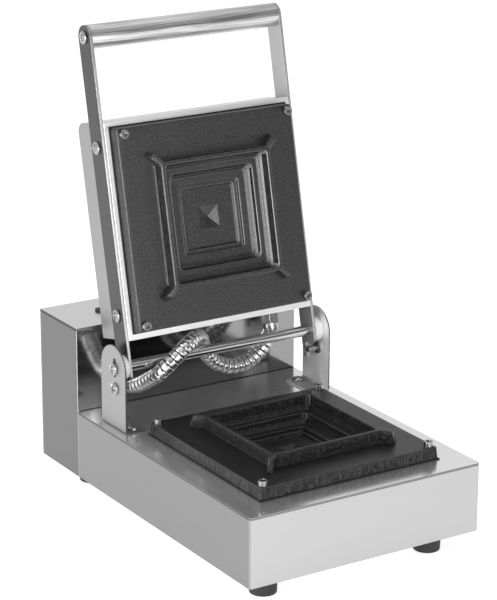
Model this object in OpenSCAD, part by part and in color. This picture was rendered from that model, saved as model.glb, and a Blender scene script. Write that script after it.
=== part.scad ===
/* [Casing] */
// Width of the casing
case_w = 260; // [250:1:300]
// Depth of the casing from front to back
case_d = 400; // [390:1:460]
// Height of the deck above the lower edge of the casing
deck_h = 70; // [66:1:90]
// Height of the rear box above the lower edge of the casing
rear_h = 158; // [150:1:180]
// Depth of the rear box from front to back
rear_d = 77; // [70:1:84]
// Thickness of the casing's sheet
sheet = 1.5; // [1:0.1:2]
// Outer radius of the casing's upright bends
bend_r = 3; // [2:0.5:4]
// Width of the flanges that the casing's sheets are fastened by
flange_w = 12; // [9:1:14]

/* [Feet] */
// Diameter of a rubber foot at its upper end
foot_d = 27; // [22:1:30]
// Height of a rubber foot
foot_h = 12.5; // [10:0.5:20]

/* [Plates] */
// Side of a cooking plate
plate_w = 200; // [190:1:204]
// Thickness of a cooking plate at its edge
plate_t = 11.5; // [9.5:0.5:13]
// Height of the raised rim above the plate's face
rim_h = 12.8; // [10:0.1:15]
// Depth of the square hollow below the plate's face
hollow_depth = 15; // [12.5:0.5:15.5]
// Distance between the two rims when the lid is closed
close_gap = 0.4; // [0.3:0.1:2]

/* [Lid] */
// How far the open lid leans back from upright, in degrees
lid_lean = 12.4; // [8:0.1:14]
// Depth of the lid housing from its front face to its back
lid_depth = 53.9; // [50:0.1:54]
// Width of an arm
arm_w = 24; // [20:0.5:24]
// Thickness of an arm
arm_t = 3; // [2:0.5:4]
// Distance from the hinge to the middle of the handle
handle_reach = 323.5; // [300:0.5:360]
// Diameter of the handle tube
handle_d = 24; // [18:1:24]
// Diameter of the hinge rod between the arms
rod_d = 11; // [10:0.5:12]

/* [Hidden] */

// Fits: a screw in its hole, a shaft that turns in its bearing, and pieces that pass each other
screw_fit = 0.2;
turning_fit = 0.1;
running_gap = 0.3;
// How far a cut runs past the face that it opens
overrun = 1;
// Thickness of the thin slices that a tapered block is stretched between
slice = 0.02;
round_sides = 32;

// Casing, worked out
front_d = case_d - rear_d;
deck_t = 2;
cover_t = 2.5;
mid_x = case_w / 2;
duct_margin = 30;
duct_low = 10;

// Cooking plates, one casting used twice; half sizes are measured from the plate's middle
plate_draft = 1;
plate_front_margin = 29;
plate_mid_y = plate_front_margin + plate_w / 2;
frame_t = 1.2;
frame_margin = 2;
rim_top_half = 62.5;
rim_foot_half = 63.3;
rim_corner = 3;
wing_t = 6;
wing_top_half = 69;
wing_foot_half = 72;
boss_half = 62;
boss_drop = 8.5;
boss_corner = 6;
opening_half = 65;
step_one_top_half = 58;
step_one_foot_half = 54;
step_one_depth = 1;
step_two_top_half = 49.5;
step_two_foot_half = 43.5;
step_two_depth = 10;
step_three_top_half = 37.3;
step_three_foot_half = 31;
step_one_corner = 5;
step_two_corner = 7;
step_three_corner = 4;
dimple_half = 11.2;
dimple_depth = 2.4;
lower_face_z = deck_h + frame_t + plate_t;

// Bolts of the cooking plates
bolt_inset = 6;
bolt_half = plate_w / 2 - bolt_inset;
bolt_d = 6;
bolt_head_d = 9;
bolt_head_h = 5.3;
bolt_socket_d = 5.5;
bolt_socket_depth = 2.8;
bolt_end_drop = 12;
nut_flats_share = 1.8;
nut_height_share = 0.8;

// Heater, clamp plate and studs behind each cooking plate
heater_t = 5;
heater_half = 46;
clamp_t = 2;
clamp_half = 61.5;
stud_d = 5;
stud_half = 57;
stud_depth = 5;
stud_end = 5;
boss_back = plate_t + boss_drop;
shield_half = 80;
shield_flange_half = 86;
shield_depth = 42;
shield_low_z = deck_h - shield_depth;
insulation_gap = 0.5;
lower_insulation_t = 20;

// Bulb of the thermostat in the side of the lower plate's boss
bulb_bore_d = 5;
bulb_d = 4.8;
bulb_len = 50;
bulb_side_y = 50;
bulb_below_deck = 3.5;
capillary_d = 2;

// Hinge: the axis lies where the two rims meet square when the lid closes
hinge_gap = 25.5;
housing_low_margin = 8;
housing_top_margin = 7;
plate_reach = hinge_gap + housing_low_margin + plate_w / 2;
lid_face_n = 23.8;
hinge_y = plate_mid_y + plate_reach;
hinge_z = lower_face_z + 2 * rim_h + close_gap + lid_face_n;
arm_outer_x = 20.2;
arm_inner_x = arm_outer_x + arm_t;
arm_mid_n = -1.5;
arm_front_n = arm_mid_n + arm_w / 2;
arm_back_n = arm_mid_n - arm_w / 2;
hub_r = 14.5;
pin_ahead = 1;
pin_below = 20.5;
pin_y = hinge_y - pin_ahead;
pin_z = hinge_z - pin_below;
pin_d = 6;
pin_reach_x = 24;
pin_washer_d = 13;
pin_washer_t = 1.5;
pin_u = (pin_y - hinge_y) * sin(lid_lean) + (pin_z - hinge_z) * cos(lid_lean);
pin_n = (pin_z - hinge_z) * sin(lid_lean) - (pin_y - hinge_y) * cos(lid_lean);
notch_r = 7.2;
leg_front_n = pin_n - pin_d / 2 - running_gap;
leg_past_pin = 8;
leg_end_u = pin_u - leg_past_pin;
leg_round = 2;

// Hinge brackets on the deck
bracket_outer_x = 9.3;
bracket_t = 2;
bracket_bend_r = 3;
bracket_inner_x = bracket_outer_x + bracket_t;
bracket_ahead = 20.5;
bracket_behind = 27;
bracket_above = 23;
bracket_front_y = hinge_y - bracket_ahead;
bracket_back_y = hinge_y + bracket_behind;
bracket_mid_y = (bracket_front_y + bracket_back_y) / 2;
bracket_r = (bracket_back_y - bracket_front_y) / 2;
bracket_top_z = hinge_z + bracket_above;
bracket_flange_w = 20;
bracket_flange_len = 36;
bracket_screw_step = 7.5;
bracket_screw_x = bracket_inner_x + bracket_flange_w / 2;
left_screw_y = bracket_front_y + bracket_screw_step;
right_screw_y = bracket_back_y - bracket_screw_step;

// Screws and the pieces on the pivot
pan_d = 13;
pan_h = 3.5;
pan_drop_share = 0.5;
cross_w = 1.8;
cross_len = 7.5;
cross_depth = 1.8;
pivot_d = 8;
pivot_thread_d = 6;
pivot_thread_len = 12;
spacer_d = 24;
bracket_screw_d = 5;
bracket_screw_len = 12;

// Lid housing
housing_front_n = lid_face_n - plate_t - frame_t;
housing_back_n = housing_front_n - lid_depth;
housing_low_u = hinge_gap;
housing_top_u = plate_reach + plate_w / 2 + housing_top_margin;
housing_round = 10;
back_opening_side = 16;
back_opening_low = 18;
cover_overlap = 8;
cover_sheet = 1.5;
lid_screw_d = 4;
lid_screw_head_d = 7;
lid_screw_head_h = 2.2;
lid_screw_len = 6;
arm_screw_d = 5;
arm_screw_len = 12;
arm_screw_spread = 82.7;
upper_insulation_side = 35;
upper_insulation_n = -9.5;

// Handle
handle_wall = 1.5;
handle_plug_len = 18;
handle_screw_d = 6;
handle_screw_len = 16;

// Glands and the ribbed hose: its path is measured from the base gland and the hinge line
hose_d = 16;
hose_root_d = 13.4;
hose_bore_d = 10.6;
rib_pitch = 6.2;
hose_sides = 8;
base_gland_x = 46;
base_gland_z = 98;
gland_nut_flats = 17;
base_gland_len = 8;
lid_gland_inset = 54;
lid_gland_x = case_w - lid_gland_inset;
lid_gland_n = -22;
lid_gland_len = 14;
gland_thread_d = 14;
gland_bore_d = 10.6;
lock_nut_t = 4;
hose_start_shares = [0, 0.5, 1];
hose_end_shares = [0.4, 0.2, 0];
hose_path_w = 160;
hose_path = [
    [0.8, 28.1, -33.1], [2.2, 17.1, -28.3], [4.2, 4.5, -20.5], [7.8, -14.1, -7.3],
    [17, -21, 5], [28.4, -20, 13.5], [41, -13.9, 17.5], [53.4, -3.3, 17.3],
    [63.4, 6.5, 14.1], [70.4, 13.5, 7.5], [74.8, 17.7, 0.1], [78.8, 20.5, -7.9],
    [84.2, 22.1, -15.9], [91.8, 22.5, -22.7], [101, 21.9, -27.7], [111.4, 20.9, -30.8],
    [124.3, 20.3, -30.2], [135, 20.3, -26.8], [142.8, 20.4, -21.8], [149, 20.8, -15.4],
    [154, 21.4, -9], [158.1, 22.1, -3.7]];

// Small pieces of the base
bumper_d = 10;
bumper_h = 2.5;
bumper_stem_d = 4;
bumper_x = 48.5;
bumper_y = front_d + rear_d / 2;
foot_left_x = 24;
foot_right_inset = 50;
foot_right_x = case_w - foot_right_inset;
foot_front_y = 15;
foot_back_y = front_d + foot_front_y;
foot_taper = 1;
foot_recess_d = 12;
foot_recess_h = 6;
foot_screw_d = 5;
foot_screw_head_d = 9.5;
foot_screw_head_h = 3.2;
foot_nut_h = 4;
case_screw_d = 4;
case_screw_head_d = 7;
case_screw_head_h = 2.2;
case_screw_len = 7;
case_screw_inset = 8;
case_screw_y = 90;

// Controls on the right side of the rear box, which the photo doesn't show
knob_step = 49;
knob_y = front_d + knob_step;
knob_z = 112;
knob_d = 30;
knob_disc_t = 5;
knob_reach = 14;
knob_gap = 0.8;
knob_grip_w = 9;
knob_recess_d = 17;
knob_recess_h = 4;
spindle_d = 6;
spindle_inside = 10;
spindle_in_knob = 9;
neck_d = 10;
neck_nut_flats = 14;
neck_nut_t = 2.5;
thermostat_w = 40;
thermostat_t = 32;
switch_step = 38;
switch_y = front_d + switch_step;
switch_z = 52;
switch_h = 30;
switch_w = 22;
switch_bezel_t = 2;
switch_body_depth = 24;
switch_body_inset = 1.5;
rocker_r = 11.3;
rocker_w = 15.4;
rocker_pivot_depth = 3;
rocker_face = 5;
rocker_rise = 2;
rocker_back = 3;
rocker_tilt = 10;
rocker_pin_d = 2.5;
rocker_cavity_depth = 17;
lamp_row_step = 23;
lamp_y = front_d + lamp_row_step;
lamp_low_z = 100;
lamp_step = 25;
lamp_d = 10;
lamp_reach = 3;
lamp_body_d = 8;
lamp_body_len = 20;
cable_gland_x = 60;
cable_gland_z = 30;
cable_gland_d = 22;
cable_gland_hex_t = 6;
cable_gland_dome_d = 20;
cable_gland_dome_t = 18;
cable_gland_thread_d = 16;
cable_bore_d = 8;
block_x = 60;
block_step = 28;
block_y = front_d + block_step;
block_w = 62;
block_t = 20;
block_h = 18;
block_poles = 5;
block_hole_d = 4;
block_hole_depth = 9;
wire_d = 3;

// The part's origin lies under the middle of the whole part
origin_x = (case_w + knob_reach) / 2;
origin_y = (case_d + cable_gland_hex_t + cable_gland_dome_t) / 2;

$fn = 48;

module placed() {
    translate([-origin_x, -origin_y, foot_h]) children();
}

// Lid pieces are drawn with x across, y up the lid from the hinge and z out of its front
module on_lid() {
    placed() translate([0, hinge_y, hinge_z]) rotate([90 - lid_lean, 0, 0]) children();
}

module on_both_sides() {
    children();
    translate([case_w, 0, 0]) mirror([1, 0, 0]) children();
}

module box(low, high) {
    translate(low) cube(high - low);
}

// A rod along x from one x to another, through a point given by y and z
module rod_x(x_low, x_high, y, z, d) {
    translate([x_low, y, z]) rotate([0, 90, 0]) cylinder(d = d, h = x_high - x_low);
}

module at_corners(half_x, half_y) {
    for (side_x = [-1, 1], side_y = [-1, 1])
        translate([side_x * half_x, side_y * half_y, 0]) children();
}

// A block between two square outlines with rounded corners
module tapered_block(half_low, half_high, corner, z_low, z_high) {
    hull() {
        translate([0, 0, z_low]) at_corners(half_low - corner, half_low - corner)
            cylinder(r = corner, h = slice, $fn = round_sides);
        translate([0, 0, z_high - slice]) at_corners(half_high - corner, half_high - corner)
            cylinder(r = corner, h = slice, $fn = round_sides);
    }
}

module square_block(half, z_low, z_high) {
    box([-half, -half, z_low], [half, half, z_high]);
}

// A pan-head screw: head above zero, shank below
module pan_screw(head_d, head_h, shank_d, length) {
    drop = head_h * pan_drop_share;
    dome_r = (head_d * head_d / 4 + drop * drop) / (2 * drop);
    cut_len = cross_len * head_d / pan_d;
    cut_w = cross_w * head_d / pan_d;
    cut_depth = cross_depth * head_d / pan_d;
    difference() {
        intersection() {
            cylinder(d = head_d, h = head_h);
            translate([0, 0, head_h - dome_r]) sphere(r = dome_r);
        }
        for (turn = [0, 90]) rotate([0, 0, turn])
            box([-cut_len / 2, -cut_w / 2, head_h - cut_depth], [cut_len / 2, cut_w / 2, head_h + overrun]);
    }
    translate([0, 0, -length]) cylinder(d = shank_d, h = length);
}

// A hexagon nut round a shank, from zero upwards
module hex_nut(flats, height, bore) {
    difference() {
        cylinder(d = flats / cos(30), h = height, $fn = 6);
        translate([0, 0, -overrun]) cylinder(d = bore, h = height + 2 * overrun);
    }
}

// A thin line of round stretches through points, with a small bead at each corner
corner_share = 1.1;
module round_line(points, d) {
    for (i = [0 : len(points) - 2]) {
        step = points[i + 1] - points[i];
        run = norm(step);
        translate(points[i])
            rotate([0, acos(step[2] / run), atan2(step[1], step[0])])
            cylinder(d = d, h = run);
    }
    for (i = [1 : len(points) - 2]) translate(points[i]) sphere(d = d * corner_share);
}

// Casing

module casing_outline(height) {
    linear_extrude(height) difference() {
        square([case_w, front_d]);
        for (side = [0, 1]) translate([side * case_w, 0]) mirror([side, 0]) difference() {
            square(bend_r);
            translate([bend_r, bend_r]) circle(r = bend_r);
        }
    }
}

module front_casing() {
    top_z = deck_h - deck_t;
    color("gainsboro") placed() difference() {
        casing_outline(top_z);
        box([sheet, sheet, sheet], [case_w - sheet, front_d + overrun, top_z - sheet]);
        box([flange_w, flange_w, -overrun], [case_w - flange_w, front_d + overrun, top_z + overrun]);
        base_screw_holes();
    }
}

module deck() {
    color("silver") placed() difference() {
        translate([0, 0, deck_h - deck_t]) casing_outline(deck_t);
        translate([mid_x, plate_mid_y, 0]) {
            square_block(opening_half, deck_h - deck_t - overrun, deck_h + overrun);
            at_corners(bolt_half, bolt_half) cylinder(d = bolt_d + 2 * screw_fit, h = deck_h + overrun);
        }
        at_bracket_screws()
            cylinder(d = bracket_screw_d + 2 * screw_fit, h = deck_h + overrun);
    }
}

module at_feet() {
    for (x = [foot_left_x, foot_right_x], y = [foot_front_y, foot_back_y])
        translate([x, y, 0]) children();
}

module at_bottom_screws() {
    for (y = [case_screw_y, front_d - case_screw_y])
        on_both_sides() translate([case_screw_inset, y, 0]) children();
    for (x = [mid_x]) translate([x, case_screw_inset, 0]) children();
}

module base_screw_holes() {
    translate([0, 0, -overrun]) {
        at_feet() cylinder(d = foot_screw_d + 2 * screw_fit, h = 2 * sheet + 2 * overrun);
        at_bottom_screws() cylinder(d = case_screw_d + 2 * screw_fit, h = 2 * sheet + 2 * overrun);
    }
}

module bottom_plate() {
    color("darkgray") placed() difference() {
        box([sheet + screw_fit, sheet + screw_fit, sheet],
            [case_w - sheet - screw_fit, case_d - 2 * sheet - screw_fit, 2 * sheet]);
        base_screw_holes();
    }
}

module at_back_screws() {
    for (z = [case_screw_inset + flange_w, rear_h - cover_t - case_screw_inset - flange_w])
        on_both_sides() translate([case_screw_inset, case_d, z]) rotate([-90, 0, 0]) children();
}

module rear_box() {
    back_y = case_d - sheet;
    top_z = rear_h - cover_t;
    color("silver") placed() difference() {
        box([0, front_d, 0], [case_w, back_y, top_z]);
        box([sheet, front_d + sheet, sheet], [case_w - sheet, back_y - sheet, top_z - sheet]);
        box([flange_w, front_d + flange_w, -overrun],
            [case_w - flange_w, back_y + overrun, top_z + overrun]);
        box([flange_w, front_d + flange_w, flange_w],
            [case_w - flange_w, case_d + overrun, top_z - flange_w]);
        box([sheet, front_d - overrun, -overrun], [case_w - sheet, front_d + sheet, 2 * sheet]);
        box([sheet, front_d, -overrun], [case_w - sheet, front_d + flange_w, sheet]);
        box([duct_margin, front_d - overrun, duct_low],
            [case_w - duct_margin, front_d + sheet + overrun, deck_h - duct_low]);
        translate([base_gland_x, front_d - overrun, base_gland_z]) rotate([-90, 0, 0])
            cylinder(d = gland_thread_d + 2 * screw_fit, h = sheet + 2 * overrun);
        side_x = case_w - sheet - overrun;
        end_x = case_w + overrun;
        rod_x(side_x, end_x, knob_y, knob_z, neck_d + 2 * screw_fit);
        for (i = [0, 1]) rod_x(side_x, end_x, lamp_y, lamp_low_z + i * lamp_step,
            lamp_body_d + 2 * screw_fit);
        box([side_x, switch_y - switch_w / 2 + switch_body_inset - screw_fit,
            switch_z - switch_h / 2 + switch_body_inset - screw_fit],
            [end_x, switch_y + switch_w / 2 - switch_body_inset + screw_fit,
            switch_z + switch_h / 2 - switch_body_inset + screw_fit]);
        base_screw_holes();
        at_back_screws() translate([0, 0, -case_screw_len])
            cylinder(d = case_screw_d + 2 * screw_fit, h = case_screw_len);
    }
}

module rear_cover() {
    color("silver") placed() difference() {
        box([0, front_d, rear_h - cover_t], [case_w, case_d, rear_h]);
        on_both_sides() translate([bumper_x, bumper_y, rear_h - cover_t - overrun])
            cylinder(d = bumper_stem_d + 2 * screw_fit, h = cover_t + 2 * overrun);
    }
}

module back_panel() {
    color("silver") placed() difference() {
        box([0, case_d - sheet, 0], [case_w, case_d, rear_h - cover_t]);
        translate([cable_gland_x, case_d - sheet - overrun, cable_gland_z]) rotate([-90, 0, 0])
            cylinder(d = cable_gland_thread_d + 2 * screw_fit, h = sheet + 2 * overrun);
        at_back_screws() translate([0, 0, -sheet - overrun])
            cylinder(d = case_screw_d + 2 * screw_fit, h = sheet + 2 * overrun);
    }
}

module feet() {
    color([0.08, 0.08, 0.08]) placed() at_feet() translate([0, 0, -foot_h]) difference() {
        cylinder(d1 = foot_d - foot_taper, d2 = foot_d, h = foot_h);
        translate([0, 0, -overrun]) {
            cylinder(d = foot_recess_d, h = foot_recess_h + overrun);
            cylinder(d = foot_screw_d + 2 * screw_fit, h = foot_h + 2 * overrun);
        }
    }
}

module foot_screws() {
    length = foot_h - foot_recess_h + 2 * sheet + foot_nut_h + overrun;
    color("silver") placed() at_feet() translate([0, 0, foot_recess_h - foot_h]) mirror([0, 0, 1])
        pan_screw(foot_screw_head_d, foot_screw_head_h, foot_screw_d, length);
}

module foot_nuts() {
    color("silver") placed() at_feet() translate([0, 0, 2 * sheet])
        hex_nut(foot_screw_d * nut_flats_share, foot_nut_h, foot_screw_d + 2 * screw_fit);
}

module top_bumpers() {
    color([0.12, 0.12, 0.12]) placed() on_both_sides() translate([bumper_x, bumper_y, rear_h]) {
        cylinder(d = bumper_d, h = bumper_h);
        translate([0, 0, -cover_t]) cylinder(d = bumper_stem_d, h = cover_t);
    }
}

module casing_screws() {
    color("silver") placed() {
        at_bottom_screws() mirror([0, 0, 1])
            pan_screw(case_screw_head_d, case_screw_head_h, case_screw_d, case_screw_len);
        at_back_screws() pan_screw(case_screw_head_d, case_screw_head_h, case_screw_d, case_screw_len);
    }
}

// Cooking plates: z is zero on the plate's face

module wing() {
    half_t = wing_t / 2;
    reach = sqrt(2);
    rotate([90, 0, 45]) translate([0, 0, -half_t]) linear_extrude(wing_t) polygon([
        [(step_one_top_half + half_t) * reach, 0], [wing_foot_half * reach, 0],
        [wing_top_half * reach, rim_h], [(step_one_top_half + half_t) * reach, rim_h]]);
}

module cooking_plate() {
    difference() {
        union() {
            tapered_block(plate_w / 2 + plate_draft, plate_w / 2, rim_corner, -plate_t, 0);
            tapered_block(boss_half, boss_half, boss_corner, -boss_back, 0);
            tapered_block(rim_foot_half, rim_top_half, rim_corner, 0, rim_h);
            for (quarter = [0 : 3]) rotate([0, 0, 90 * quarter]) wing();
        }
        step_run = (step_one_top_half - step_one_foot_half) / (rim_h + step_one_depth);
        tapered_block(step_one_foot_half, step_one_top_half + step_run * overrun, step_one_corner,
            -step_one_depth, rim_h + overrun);
        tapered_block(step_two_foot_half, step_two_top_half, step_two_corner,
            -step_two_depth, slice - step_one_depth);
        tapered_block(step_three_foot_half, step_three_top_half, step_three_corner,
            -hollow_depth, slice - step_two_depth);
        translate([0, 0, -hollow_depth - dimple_depth]) rotate([0, 0, 45])
            cylinder(r1 = 0, r2 = dimple_half * sqrt(2), h = dimple_depth, $fn = 4);
        at_corners(bolt_half, bolt_half) translate([0, 0, -plate_t - overrun])
            cylinder(d = bolt_d + 2 * screw_fit, h = plate_t + 2 * overrun);
        at_corners(stud_half, stud_half) translate([0, 0, -boss_back - overrun])
            cylinder(d = stud_d + 2 * screw_fit, h = stud_depth + overrun);
    }
}

module plate_bolts() {
    at_corners(bolt_half, bolt_half) {
        difference() {
            cylinder(d = bolt_head_d, h = bolt_head_h);
            translate([0, 0, bolt_head_h - bolt_socket_depth])
                cylinder(d = bolt_socket_d, h = bolt_socket_depth + overrun, $fn = 6);
        }
        translate([0, 0, -plate_t - bolt_end_drop]) cylinder(d = bolt_d, h = plate_t + bolt_end_drop);
    }
}

module plate_nuts() {
    height = bolt_d * nut_height_share;
    at_corners(bolt_half, bolt_half) translate([0, 0, -plate_t - frame_t - deck_t - height])
        hex_nut(bolt_d * nut_flats_share, height, bolt_d + 2 * screw_fit);
}

module plate_frame() {
    difference() {
        square_block(plate_w / 2 + frame_margin, -plate_t - frame_t, -plate_t);
        square_block(opening_half, -plate_t - frame_t - overrun, overrun - plate_t);
        at_corners(bolt_half, bolt_half) translate([0, 0, -plate_t - frame_t - overrun])
            cylinder(d = bolt_d + 2 * screw_fit, h = frame_t + 2 * overrun);
    }
}

module heater() {
    square_block(heater_half, -boss_back - heater_t, -boss_back);
    for (side = [-1, 1]) translate([side * heater_half / 2, heater_half, -boss_back - heater_t / 2])
        rotate([-90, 0, 0]) cylinder(d = wire_d, h = clamp_half - heater_half);
}

module clamp() {
    back = -boss_back - heater_t;
    difference() {
        square_block(clamp_half, back - clamp_t, back);
        at_corners(stud_half, stud_half) translate([0, 0, back - clamp_t - overrun])
            cylinder(d = stud_d + 2 * screw_fit, h = clamp_t + 2 * overrun);
    }
}

module studs() {
    back = -boss_back - heater_t - clamp_t;
    nut_h = stud_d * nut_height_share;
    at_corners(stud_half, stud_half) {
        translate([0, 0, back - stud_end])
            cylinder(d = stud_d, h = stud_end + clamp_t + heater_t + stud_depth);
        translate([0, 0, back - nut_h])
            hex_nut(stud_d * nut_flats_share, nut_h, stud_d + 2 * screw_fit);
    }
}

module on_deck_plate() {
    placed() translate([mid_x, plate_mid_y, lower_face_z]) children();
}

module on_lid_plate() {
    on_lid() translate([mid_x, plate_reach, lid_face_n]) children();
}

module lower_plate() {
    color([0.13, 0.13, 0.13]) on_deck_plate() difference() {
        cooking_plate();
        translate([boss_half - bulb_len, bulb_side_y, deck_h - bulb_below_deck - lower_face_z])
            rotate([0, 90, 0]) cylinder(d = bulb_bore_d, h = bulb_len + overrun);
    }
}

module upper_plate() {
    color([0.13, 0.13, 0.13]) on_lid_plate() cooking_plate();
}

module lower_plate_bolts() {
    color("white") on_deck_plate() plate_bolts();
}

module upper_plate_bolts() {
    color("white") on_lid_plate() plate_bolts();
}

module lower_plate_nuts() {
    color("silver") on_deck_plate() plate_nuts();
}

module upper_plate_nuts() {
    color("silver") on_lid_plate() plate_nuts();
}

module lower_plate_frame() {
    color([0.1, 0.1, 0.1]) on_deck_plate() plate_frame();
}

module upper_plate_frame() {
    color([0.1, 0.1, 0.1]) on_lid_plate() plate_frame();
}

module lower_heater() {
    color("lightgray") on_deck_plate() heater();
}

module upper_heater() {
    color("lightgray") on_lid_plate() heater();
}

module lower_clamp() {
    color("silver") on_deck_plate() clamp();
}

module upper_clamp() {
    color("silver") on_lid_plate() clamp();
}

module lower_studs() {
    color("silver") on_deck_plate() studs();
}

module upper_studs() {
    color("silver") on_lid_plate() studs();
}

// Tray under the lower plate, welded by its flanges to the underside of the deck
module heat_shield() {
    top_z = deck_h - deck_t;
    inner = shield_half - sheet;
    color("silver") placed() translate([mid_x, plate_mid_y, 0]) difference() {
        union() {
            square_block(shield_half, shield_low_z, top_z);
            square_block(shield_flange_half, top_z - sheet, top_z);
        }
        square_block(inner, shield_low_z + sheet, top_z + overrun);
        box([inner - overrun, bulb_side_y - bulb_d, top_z - 2 * bulb_d],
            [shield_flange_half + overrun, bulb_side_y + bulb_d, top_z + overrun]);
        box([-heater_half, inner - overrun, top_z - flange_w - heater_t],
            [heater_half, shield_half + overrun, top_z - 2 * sheet]);
    }
}

module lower_insulation() {
    low = shield_low_z + sheet;
    color("beige") placed() translate([mid_x, plate_mid_y, 0])
        square_block(shield_half - sheet - insulation_gap, low, low + lower_insulation_t);
}

// Hinge brackets, stop pins and pivot

module at_bracket_screws() {
    translate([bracket_screw_x, left_screw_y, 0]) children();
    translate([case_w - bracket_screw_x, right_screw_y, 0]) children();
}

// A bracket on the left side: its flange starts at flange_y and its screw is at screw_y
module bracket(flange_y, screw_y) {
    foot_z = deck_h + bracket_bend_r;
    difference() {
        union() {
            intersection() {
                box([bracket_outer_x, bracket_front_y, foot_z],
                    [bracket_inner_x, bracket_back_y, bracket_top_z]);
                union() {
                    box([bracket_outer_x, bracket_front_y, foot_z],
                        [bracket_inner_x, bracket_back_y, bracket_top_z - bracket_r]);
                    rod_x(bracket_outer_x, bracket_inner_x, bracket_mid_y, bracket_top_z - bracket_r,
                        2 * bracket_r);
                }
            }
            intersection() {
                translate([bracket_outer_x + bracket_bend_r, bracket_front_y, foot_z]) rotate([-90, 0, 0])
                    cylinder(r = bracket_bend_r, h = bracket_back_y - bracket_front_y);
                box([bracket_outer_x, bracket_front_y, deck_h], [bracket_inner_x, bracket_back_y, foot_z]);
            }
            box([bracket_outer_x + bracket_bend_r, flange_y, deck_h],
                [bracket_inner_x + bracket_flange_w, flange_y + bracket_flange_len, deck_h + bracket_t]);
            difference() {
                box([bracket_outer_x, flange_y, deck_h],
                    [bracket_outer_x + bracket_bend_r, flange_y + bracket_flange_len, foot_z]);
                translate([bracket_outer_x, flange_y - overrun, deck_h]) bend_corner(bracket_flange_len);
            }
        }
        start_x = bracket_outer_x - overrun;
        end_x = bracket_inner_x + overrun;
        rod_x(start_x, end_x, hinge_y, hinge_z, pivot_d + 2 * turning_fit);
        rod_x(start_x, end_x, pin_y, pin_z, pin_d + 2 * screw_fit);
        translate([bracket_screw_x, screw_y, deck_h - overrun])
            cylinder(d = bracket_screw_d + 2 * screw_fit, h = bracket_t + 2 * overrun);
    }
}

// What the outer bend of a bracket leaves away below it, over a length and the overruns
module bend_corner(length) {
    difference() {
        box([-overrun, 0, -overrun], [bracket_bend_r, length + 2 * overrun, bracket_bend_r]);
        translate([bracket_bend_r, -overrun, bracket_bend_r]) rotate([-90, 0, 0])
            cylinder(r = bracket_bend_r, h = length + 2 * overrun + 2 * overrun);
    }
}

module bracket_left() {
    color("gainsboro") placed() bracket(bracket_front_y, left_screw_y);
}

// The right bracket is the same piece turned round, so that its flange lies at the back
module bracket_right() {
    color("gainsboro") placed() translate([case_w, 0, 0]) mirror([1, 0, 0])
        bracket(bracket_back_y - bracket_flange_len, right_screw_y);
}

module bracket_screws() {
    nut_h = bracket_screw_d * nut_height_share;
    color("white") placed() at_bracket_screws() {
        translate([0, 0, deck_h + bracket_t]) pan_screw(pan_d, pan_h, bracket_screw_d, bracket_screw_len);
        translate([0, 0, deck_h - deck_t - nut_h])
            hex_nut(bracket_screw_d * nut_flats_share, nut_h, bracket_screw_d + 2 * screw_fit);
    }
}

module stop_pins() {
    color("white") placed() on_both_sides() {
        translate([bracket_outer_x, pin_y, pin_z]) rotate([0, -90, 0])
            pan_screw(pan_d, pan_h, pin_d, pin_reach_x - bracket_outer_x);
        difference() {
            rod_x(bracket_inner_x, bracket_inner_x + pin_washer_t, pin_y, pin_z, pin_washer_d);
            rod_x(bracket_inner_x - overrun, bracket_inner_x + pin_washer_t + overrun, pin_y, pin_z,
                pin_d - screw_fit);
        }
    }
}

module hinge_rod() {
    color("white") on_lid() difference() {
        rod_x(arm_inner_x, case_w - arm_inner_x, 0, 0, rod_d);
        on_both_sides() rod_x(arm_inner_x - overrun, arm_inner_x + pivot_thread_len + overrun, 0, 0,
            pivot_thread_d + 2 * screw_fit);
    }
}

module pivot_screws() {
    head_x = bracket_outer_x - running_gap;
    color("white") on_lid() on_both_sides() {
        translate([head_x, 0, 0]) rotate([0, -90, 0])
            pan_screw(pan_d, pan_h, pivot_d, arm_inner_x - head_x);
        rod_x(arm_inner_x - overrun, arm_inner_x + pivot_thread_len, 0, 0, pivot_thread_d);
    }
}

module pivot_spacers() {
    color("white") on_lid() on_both_sides() difference() {
        rod_x(bracket_inner_x + running_gap, arm_outer_x, 0, 0, spacer_d);
        rod_x(bracket_inner_x, arm_outer_x + overrun, 0, 0, pivot_d + 2 * screw_fit);
    }
}

// Arms and handle

module arm() {
    difference() {
        union() {
            box([arm_outer_x, 0, arm_back_n], [arm_inner_x, handle_reach, arm_front_n]);
            rod_x(arm_outer_x, arm_inner_x, handle_reach, arm_mid_n, arm_w);
            intersection() {
                rod_x(arm_outer_x, arm_inner_x, 0, 0, 2 * hub_r);
                box([arm_outer_x, -hub_r, arm_back_n], [arm_inner_x, hub_r, arm_front_n]);
            }
            box([arm_outer_x, leg_end_u + leg_round, arm_back_n], [arm_inner_x, 0, leg_front_n]);
            box([arm_outer_x, leg_end_u, arm_back_n + leg_round], [arm_inner_x, 0, leg_front_n]);
            rod_x(arm_outer_x, arm_inner_x, leg_end_u + leg_round, arm_back_n + leg_round, 2 * leg_round);
        }
        start_x = arm_outer_x - overrun;
        end_x = arm_inner_x + overrun;
        intersection() {
            rod_x(start_x, end_x, pin_u, pin_n, 2 * notch_r);
            box([start_x, leg_end_u - overrun, leg_front_n], [end_x, 0, arm_front_n + overrun]);
        }
        rod_x(start_x, end_x, 0, 0, pivot_d + 2 * screw_fit);
        rod_x(start_x, end_x, handle_reach, arm_mid_n, handle_screw_d + 2 * screw_fit);
        for (side = [-1, 1]) rod_x(start_x, end_x, plate_reach + side * arm_screw_spread, arm_mid_n,
            arm_screw_d + 2 * screw_fit);
    }
}

module arm_left() {
    color("darkgray") on_lid() arm();
}

module arm_right() {
    color("darkgray") on_lid() translate([case_w, 0, 0]) mirror([1, 0, 0]) arm();
}

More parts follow.
